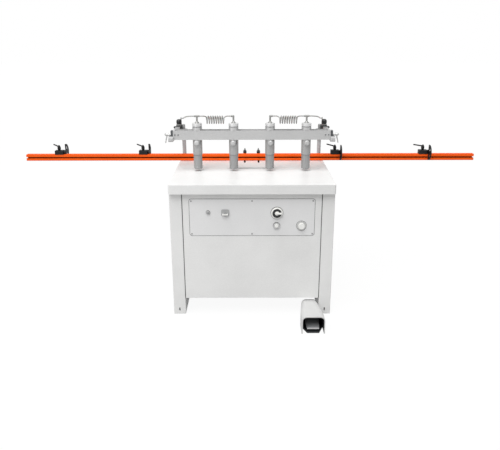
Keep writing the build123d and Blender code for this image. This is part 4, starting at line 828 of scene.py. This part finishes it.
scale_tree, given = start_tree("scales", {"Ticks": COUNT, "Arc Radius": LENGTH, "Start": LENGTH,
                                          "Sweep": LENGTH, "Tick Size": "NodeSocketVector"})
arc = add(scale_tree, "GeometryNodeCurveArc",
          links={"Resolution": given["Ticks"], "Radius": given["Arc Radius"],
                 "Start Angle": given["Start"], "Sweep Angle": given["Sweep"]})
stations = add(scale_tree, "GeometryNodeCurveToPoints", links={"Curve": arc.outputs["Curve"]},
               mode="EVALUATED")
tick = add(scale_tree, "GeometryNodeMeshCube", links={"Size": given["Tick Size"]})
row = add(scale_tree, "GeometryNodeInstanceOnPoints",
          links={"Points": stations.outputs["Points"], "Instance": tick.outputs["Mesh"],
                 "Rotation": stations.outputs["Rotation"]})
end_tree(scale_tree, given, row.outputs[0])
print("trees:", [tree.name for tree in bpy.data.node_groups])

# %% Dial and gauge scales
DIAL_RING_FRONT = DIAL - Vector((0, 2 * MM, 0))
SCALE_START, SCALE_SWEEP = math.radians(-45), math.radians(270)
run_tree(scale_tree, "dial_ticks", [DIAL_RING_FRONT], "machine_frame", "black_plastic",
         turn=FACING["front"], ticks=11, arc_radius=27 * MM, start=SCALE_START, sweep=SCALE_SWEEP,
         tick_size=(5 * MM, 0.4 * MM, 0.9 * MM), finish=black_abs)

GAUGE_X, GAUGE_Y, GAUGE_Z = 0.563, 0.348, 1.1325
NEEDLE_OFFSET = Vector((0, -0.2 * MM, 1.6 * MM))
gauge_faces = [Vector((side * GAUGE_X, GAUGE_Y, GAUGE_Z)) for side in SIDES.values()]
needles = [face + NEEDLE_OFFSET for face in gauge_faces]
run_tree(ring_tree, "gauge_dials", gauge_faces, "bridge", "black_plastic", turn=FACING["front"],
         sides=ROUND_SIDES, outer_radius=7.2 * MM, bore_radius=0.7 * MM, height=0.2 * MM,
         finish=charcoal_nylon)
run_tree(scale_tree, "gauge_ticks", gauge_faces, "bridge", "black_plastic", turn=FACING["front"],
         ticks=9, arc_radius=5.6 * MM, start=SCALE_START, sweep=SCALE_SWEEP,
         tick_size=(1.6 * MM, 0.6 * MM, 0.4 * MM), finish=white_abs)
run_tree(bar_tree, "gauge_needles", needles, "bridge", "black_plastic",
         size=(0.5 * MM, 0.6 * MM, 5 * MM), finish=white_abs)
print("scales: dial and", len(gauge_faces), "gauges")


# %% [markdown]
# A thin dark frame round the control plate is painted shade, for the shadowed gap round it, and rubber
# seals fill the seams where the front and rear panels meet the side frames. The frame is a rounded
# rectangle swept with a thin square profile. Four bars could go round the plate too, but they would
# leave its rounded corners open.

# %% Frame tree
frame_tree, given = start_tree("frames", {"Width": LENGTH, "Height": LENGTH, "Corner": LENGTH,
                                          "Line Width": LENGTH, "Line Height": LENGTH})
outline = add(frame_tree, "GeometryNodeCurvePrimitiveQuadrilateral",
              links={"Width": given["Width"], "Height": given["Height"]})
CORNER_STEPS = 6
rounded = add(frame_tree, "GeometryNodeFilletCurve", {"Count": CORNER_STEPS, "Limit Radius": True},
              {"Curve": outline.outputs[0], "Radius": given["Corner"]}, mode="POLY")
section = add(frame_tree, "GeometryNodeCurvePrimitiveQuadrilateral",
              links={"Width": given["Line Width"], "Height": given["Line Height"]})
swept = add(frame_tree, "GeometryNodeCurveToMesh",
            links={"Curve": rounded.outputs[0], "Profile Curve": section.outputs[0]})
end_tree(frame_tree, given, swept.outputs[0])
print("frame tree:", len(frame_tree.nodes), "nodes")

# %% Plate shade frame and panel seals
PANEL_FACE = -0.398
PLATE_MIDDLE = Vector((0, PANEL_FACE, 0.680))
PLATE_WIDTH, PLATE_HEIGHT, PLATE_CORNER = 0.794, 0.242, 0.015
SHADE_LINE_WIDTH = 2.4 * MM
# Extruded rubber, dusty with use: a matt dark grey. Round the control plate it is painted shade.
seal_rubber = finish("seal_rubber", "#4A4B4C", "#3C3D3E", 0.6, 2, 0.05)
run_tree(frame_tree, "plate_gasket", [PLATE_MIDDLE], "machine_frame", "black_plastic",
         turn=FACING["front"], width=PLATE_WIDTH + SHADE_LINE_WIDTH, height=PLATE_HEIGHT + SHADE_LINE_WIDTH,
         corner=PLATE_CORNER, line_width=SHADE_LINE_WIDTH, line_height=2 * SHADE_LINE_HEIGHT,
         finish=seal_rubber)

SEAM_X, SEAM_MIDDLE_Z, SEAM_HEIGHT = 0.4425, 0.4765, 0.719
SEAM_DEPTH = 4 * MM
SEAM_WIDTH = 4.6 * MM
seams = [(side * SEAM_X, front * (abs(PANEL_FACE) - SEAM_DEPTH), SEAM_MIDDLE_Z)
         for side in SIDES.values() for front in (-1, 1)]
run_tree(bar_tree, "panel_seals", seams, "machine_frame", "black_plastic",
         size=(SEAM_WIDTH, SEAM_DEPTH, SEAM_HEIGHT), finish=seal_rubber)
print("seals:", len(seams), "and one shade_line")

# %% [markdown]
# Small hardware: cap screws hold the beam's ends and the column flanges, flat screws hold the rear
# panel, and wiper rings close the presser sleeves below. They could be part of the CAD solids, but
# they are small and many, so each group is one run of a tree on a list of places.

# %% Screws
SCREW_SIDES = 24
BEAM_FRONT = -0.070
BEAM_SCREW_X, BEAM_SCREW_Z = (0.489, 0.511), 1.149
beam_screws = [(side * x, BEAM_FRONT, BEAM_SCREW_Z) for side in SIDES.values() for x in BEAM_SCREW_X]
run_tree(screw_tree, "beam_screws", beam_screws, "bridge", "plated_steel", turn=FACING["front"],
         sides=SCREW_SIDES, head_radius=4.5 * MM, crown_radius=4.1 * MM, head_height=3.5 * MM,
         socket_share=0.55, socket_depth=2.5 * MM, finish=grey_primer)

COLUMN_X, COLUMN_Y, FLANGE_TOP = 0.500, 0.370, 0.912
FLANGE_SCREWS = 3
FLANGE_CIRCLE = 18 * MM
turns = [2 * math.pi * number / FLANGE_SCREWS for number in range(FLANGE_SCREWS)]
flange_screws = [(side * COLUMN_X + FLANGE_CIRCLE * math.cos(turn),
                  COLUMN_Y + FLANGE_CIRCLE * math.sin(turn), FLANGE_TOP)
                 for side in SIDES.values() for turn in turns]
run_tree(screw_tree, "flange_screws", flange_screws, "machine_frame", "plated_steel",
         sides=SCREW_SIDES, head_radius=3 * MM, crown_radius=2.7 * MM, head_height=2.4 * MM,
         socket_share=0.5, socket_depth=1.6 * MM, finish=satin_nickel)

REAR_FACE = 0.398
REAR_SCREW_X = (-0.425, 0, 0.425)
REAR_SCREW_Z = (0.135, 0.820)
rear_screws = [(x, REAR_FACE, z) for x in REAR_SCREW_X for z in REAR_SCREW_Z]
run_tree(screw_tree, "rear_screws", rear_screws, "machine_frame", "plated_steel",
         turn=FACING["back"], sides=SCREW_SIDES, head_radius=6 * MM, crown_radius=4.6 * MM,
         head_height=2.6 * MM, socket_share=0.5, socket_depth=1.8 * MM, finish=satin_nickel)

print("screws:", len(beam_screws) + len(flange_screws) + len(rear_screws))

# %% Wiper rings
SLEEVE_BOTTOM = 1.014
WIPER_HEIGHT = 1.6 * MM
wipers = [(x, BEAM_LINE, SLEEVE_BOTTOM - WIPER_HEIGHT) for x in PRESSER_X]
run_tree(ring_tree, "ram_wipers", wipers, "bridge", "black_plastic", sides=ROUND_SIDES,
         outer_radius=31.4 * MM, bore_radius=29.2 * MM, height=WIPER_HEIGHT, finish=black_abs)
print("wiper rings:", len(wipers))

# %% [markdown]
# On the rear panel a pressed lip sheds dust over every louvre, and hexagon nuts hold the cable gland
# and the air coupling. A third nut holds the foot switch's gland. The levelling slots at the feet are
# backed by thin black sheets, which are painted shade. Collars close the push-in fittings round each
# hose, which is where a finger presses to free it. The lips are tilted bars, and nuts and collars are
# rings with six sides or many, so no new tree is needed.

# %% Louvre lips and foot slots
LOUVRE_X = (-0.240, 0.240)
LOUVRE_ROWS, LOUVRE_PITCH, LOUVRE_Z = 8, 0.022, 0.560
LIP_SIZE = (0.176, 0.012, 0.0012)
LIP_STAND = 4.8 * MM
LIP_DROOP = math.radians(-35)
rows = [LOUVRE_Z + (row - (LOUVRE_ROWS - 1) / 2) * LOUVRE_PITCH for row in range(LOUVRE_ROWS)]
lips = [(x, REAR_FACE + LIP_STAND, z) for x in LOUVRE_X for z in rows]
run_tree(bar_tree, "louvre_lips", lips, "machine_frame", "body_paint", turn=(LIP_DROOP, 0, 0),
         size=LIP_SIZE, finish=powder_coat)

# Thin black sheets sit at the back of the foot slots as painted shade.
FOOT_SLOT_X, FOOT_SLOT_Z, FOOT_SLOT_BACK = 0.484, 0.035, -0.3962
SHADE_BACK_SIZE = (0.012, 0.0014, 0.028)
shade_backs = [(side * FOOT_SLOT_X, FOOT_SLOT_BACK, FOOT_SLOT_Z) for side in SIDES.values()]
run_tree(bar_tree, "foot_slot_plugs", shade_backs, "machine_frame", "black_plastic", size=SHADE_BACK_SIZE,
         finish=black_abs)
print("louvre lips:", len(lips), "plugs:", len(shade_backs))

# %% Nuts and hose collars
HEX = 6
INLET_Z = 0.190
PEDAL_X = 0.383
# Each nut's seat, its bore and outer radius and its height in millimetres, and its finish.
NUTS = {"cable_gland_nut": ((0.250, REAR_FACE, INLET_Z), 12.1, 17.5, 6, charcoal_nylon),
        "air_coupling_nut": ((0.320, REAR_FACE, INLET_Z), 12.1, 17.5, 6, satin_nickel),
        "pedal_gland_nut": ((PEDAL_X, -0.378, 0.040), 9.1, 13, 5, charcoal_nylon)}
for nut, (seat, bore_mm, outer_mm, height_mm, nut_finish) in NUTS.items():
    run_tree(ring_tree, nut, [seat], "machine_frame", "plated_steel", turn=FACING["back"], sides=HEX,
             outer_radius=outer_mm * MM, bore_radius=bore_mm * MM, height=height_mm * MM,
             finish=nut_finish)

COLLAR_SIZES = {"sides": ROUND_SIDES // 2, "outer_radius": 6 * MM, "bore_radius": HOSE_RADIUS,
                "height": 2.5 * MM}
# Where a hose ends on the right side, and whether it leaves there to the right or to the left.
HOSE_ENDS = [(INNER_END, 1), (OUTER_START, -1), (OUTER_END, 1)]
for side_name, side in SIDES.items():
    for number, (x, way) in enumerate(HOSE_ENDS, start=1):
        towards = "right" if side * way > 0 else "left"
        run_tree(ring_tree, f"hose_collar_{side_name}_{number}", [(side * x, BEAM_LINE, HOSE_TOP)],
                 "bridge", "plated_steel", turn=FACING[towards], finish=satin_nickel, **COLLAR_SIZES)
print("nuts:", len(NUTS), "collars:", len(SIDES) * len(HOSE_ENDS))

# %% [markdown]
# The treadle has ribs across it, so that a shoe does not slip, and a pale aluminium nosing along its
# front. Each clamp lever is held by a small cap screw in the top of its hub. The ribs are bars tilted
# to the treadle's slope: bump could suggest them, but only real bars show at its edge. All of these
# ride on the treadle or a lever, so they move with its joint.

# %% Treadle ribs
TREAD_FRONT, TREAD_FRONT_Z = -0.655, 0.031
TREAD_PIN, TREAD_PIN_Z = -0.455, 0.0485
TREAD_SLOPE = (TREAD_PIN_Z - TREAD_FRONT_Z) / (TREAD_PIN - TREAD_FRONT)
RIB_COUNT, RIB_PITCH, FIRST_RIB = 8, 11 * MM, 14 * MM
RIB_SIZE = (0.068, 0.0045, 0.0024)
rib_runs = [FIRST_RIB + number * RIB_PITCH for number in range(RIB_COUNT)]
ribs = [(PEDAL_X, TREAD_FRONT + run, TREAD_FRONT_Z + run * TREAD_SLOPE) for run in rib_runs]
run_tree(bar_tree, "treadle_ribs", ribs, "treadle", "black_plastic",
         turn=(math.atan(TREAD_SLOPE), 0, 0), size=RIB_SIZE, finish=tread_rubber)

NOSING_PLACE = (PEDAL_X, TREAD_FRONT + 0.5 * MM, TREAD_FRONT_Z - 1.2 * MM)
NOSING_SIZE = (0.0755, 0.004, 0.0046)
run_tree(bar_tree, "treadle_nosing", [NOSING_PLACE], "treadle", "black_plastic", size=NOSING_SIZE,
         finish=cap_aluminium)
print("ribs:", len(ribs), "and one nosing")

# %% Lever screws
HUB_SCREW = {"sides": SCREW_SIDES, "head_radius": 4.2 * MM, "crown_radius": 3.9 * MM,
             "head_height": 2 * MM, "socket_share": 0.55, "socket_depth": 1.5 * MM,
             "finish": satin_nickel}
FENCE_LEVER_X, FENCE_LEVER_Y, FENCE_HUB_TOP = 0.050, 0.338, 0.9713
STOP_LEVER_Y, STOP_HUB_TOP = 0.296, 1.0126
STOP_X = {1: -1.409, 2: -0.795, 3: 0.608, 4: 1.252}
hubs = {f"fence_lever_{side_name}": (side * FENCE_LEVER_X, FENCE_LEVER_Y, FENCE_HUB_TOP)
        for side_name, side in SIDES.items()}
hubs |= {f"stop_lever_{number}": (x, STOP_LEVER_Y, STOP_HUB_TOP) for number, x in STOP_X.items()}
for lever, top in hubs.items():
    run_tree(screw_tree, f"{lever}_screw", [top], lever, "plated_steel", **HUB_SCREW)
print("lever screws:", len(hubs))
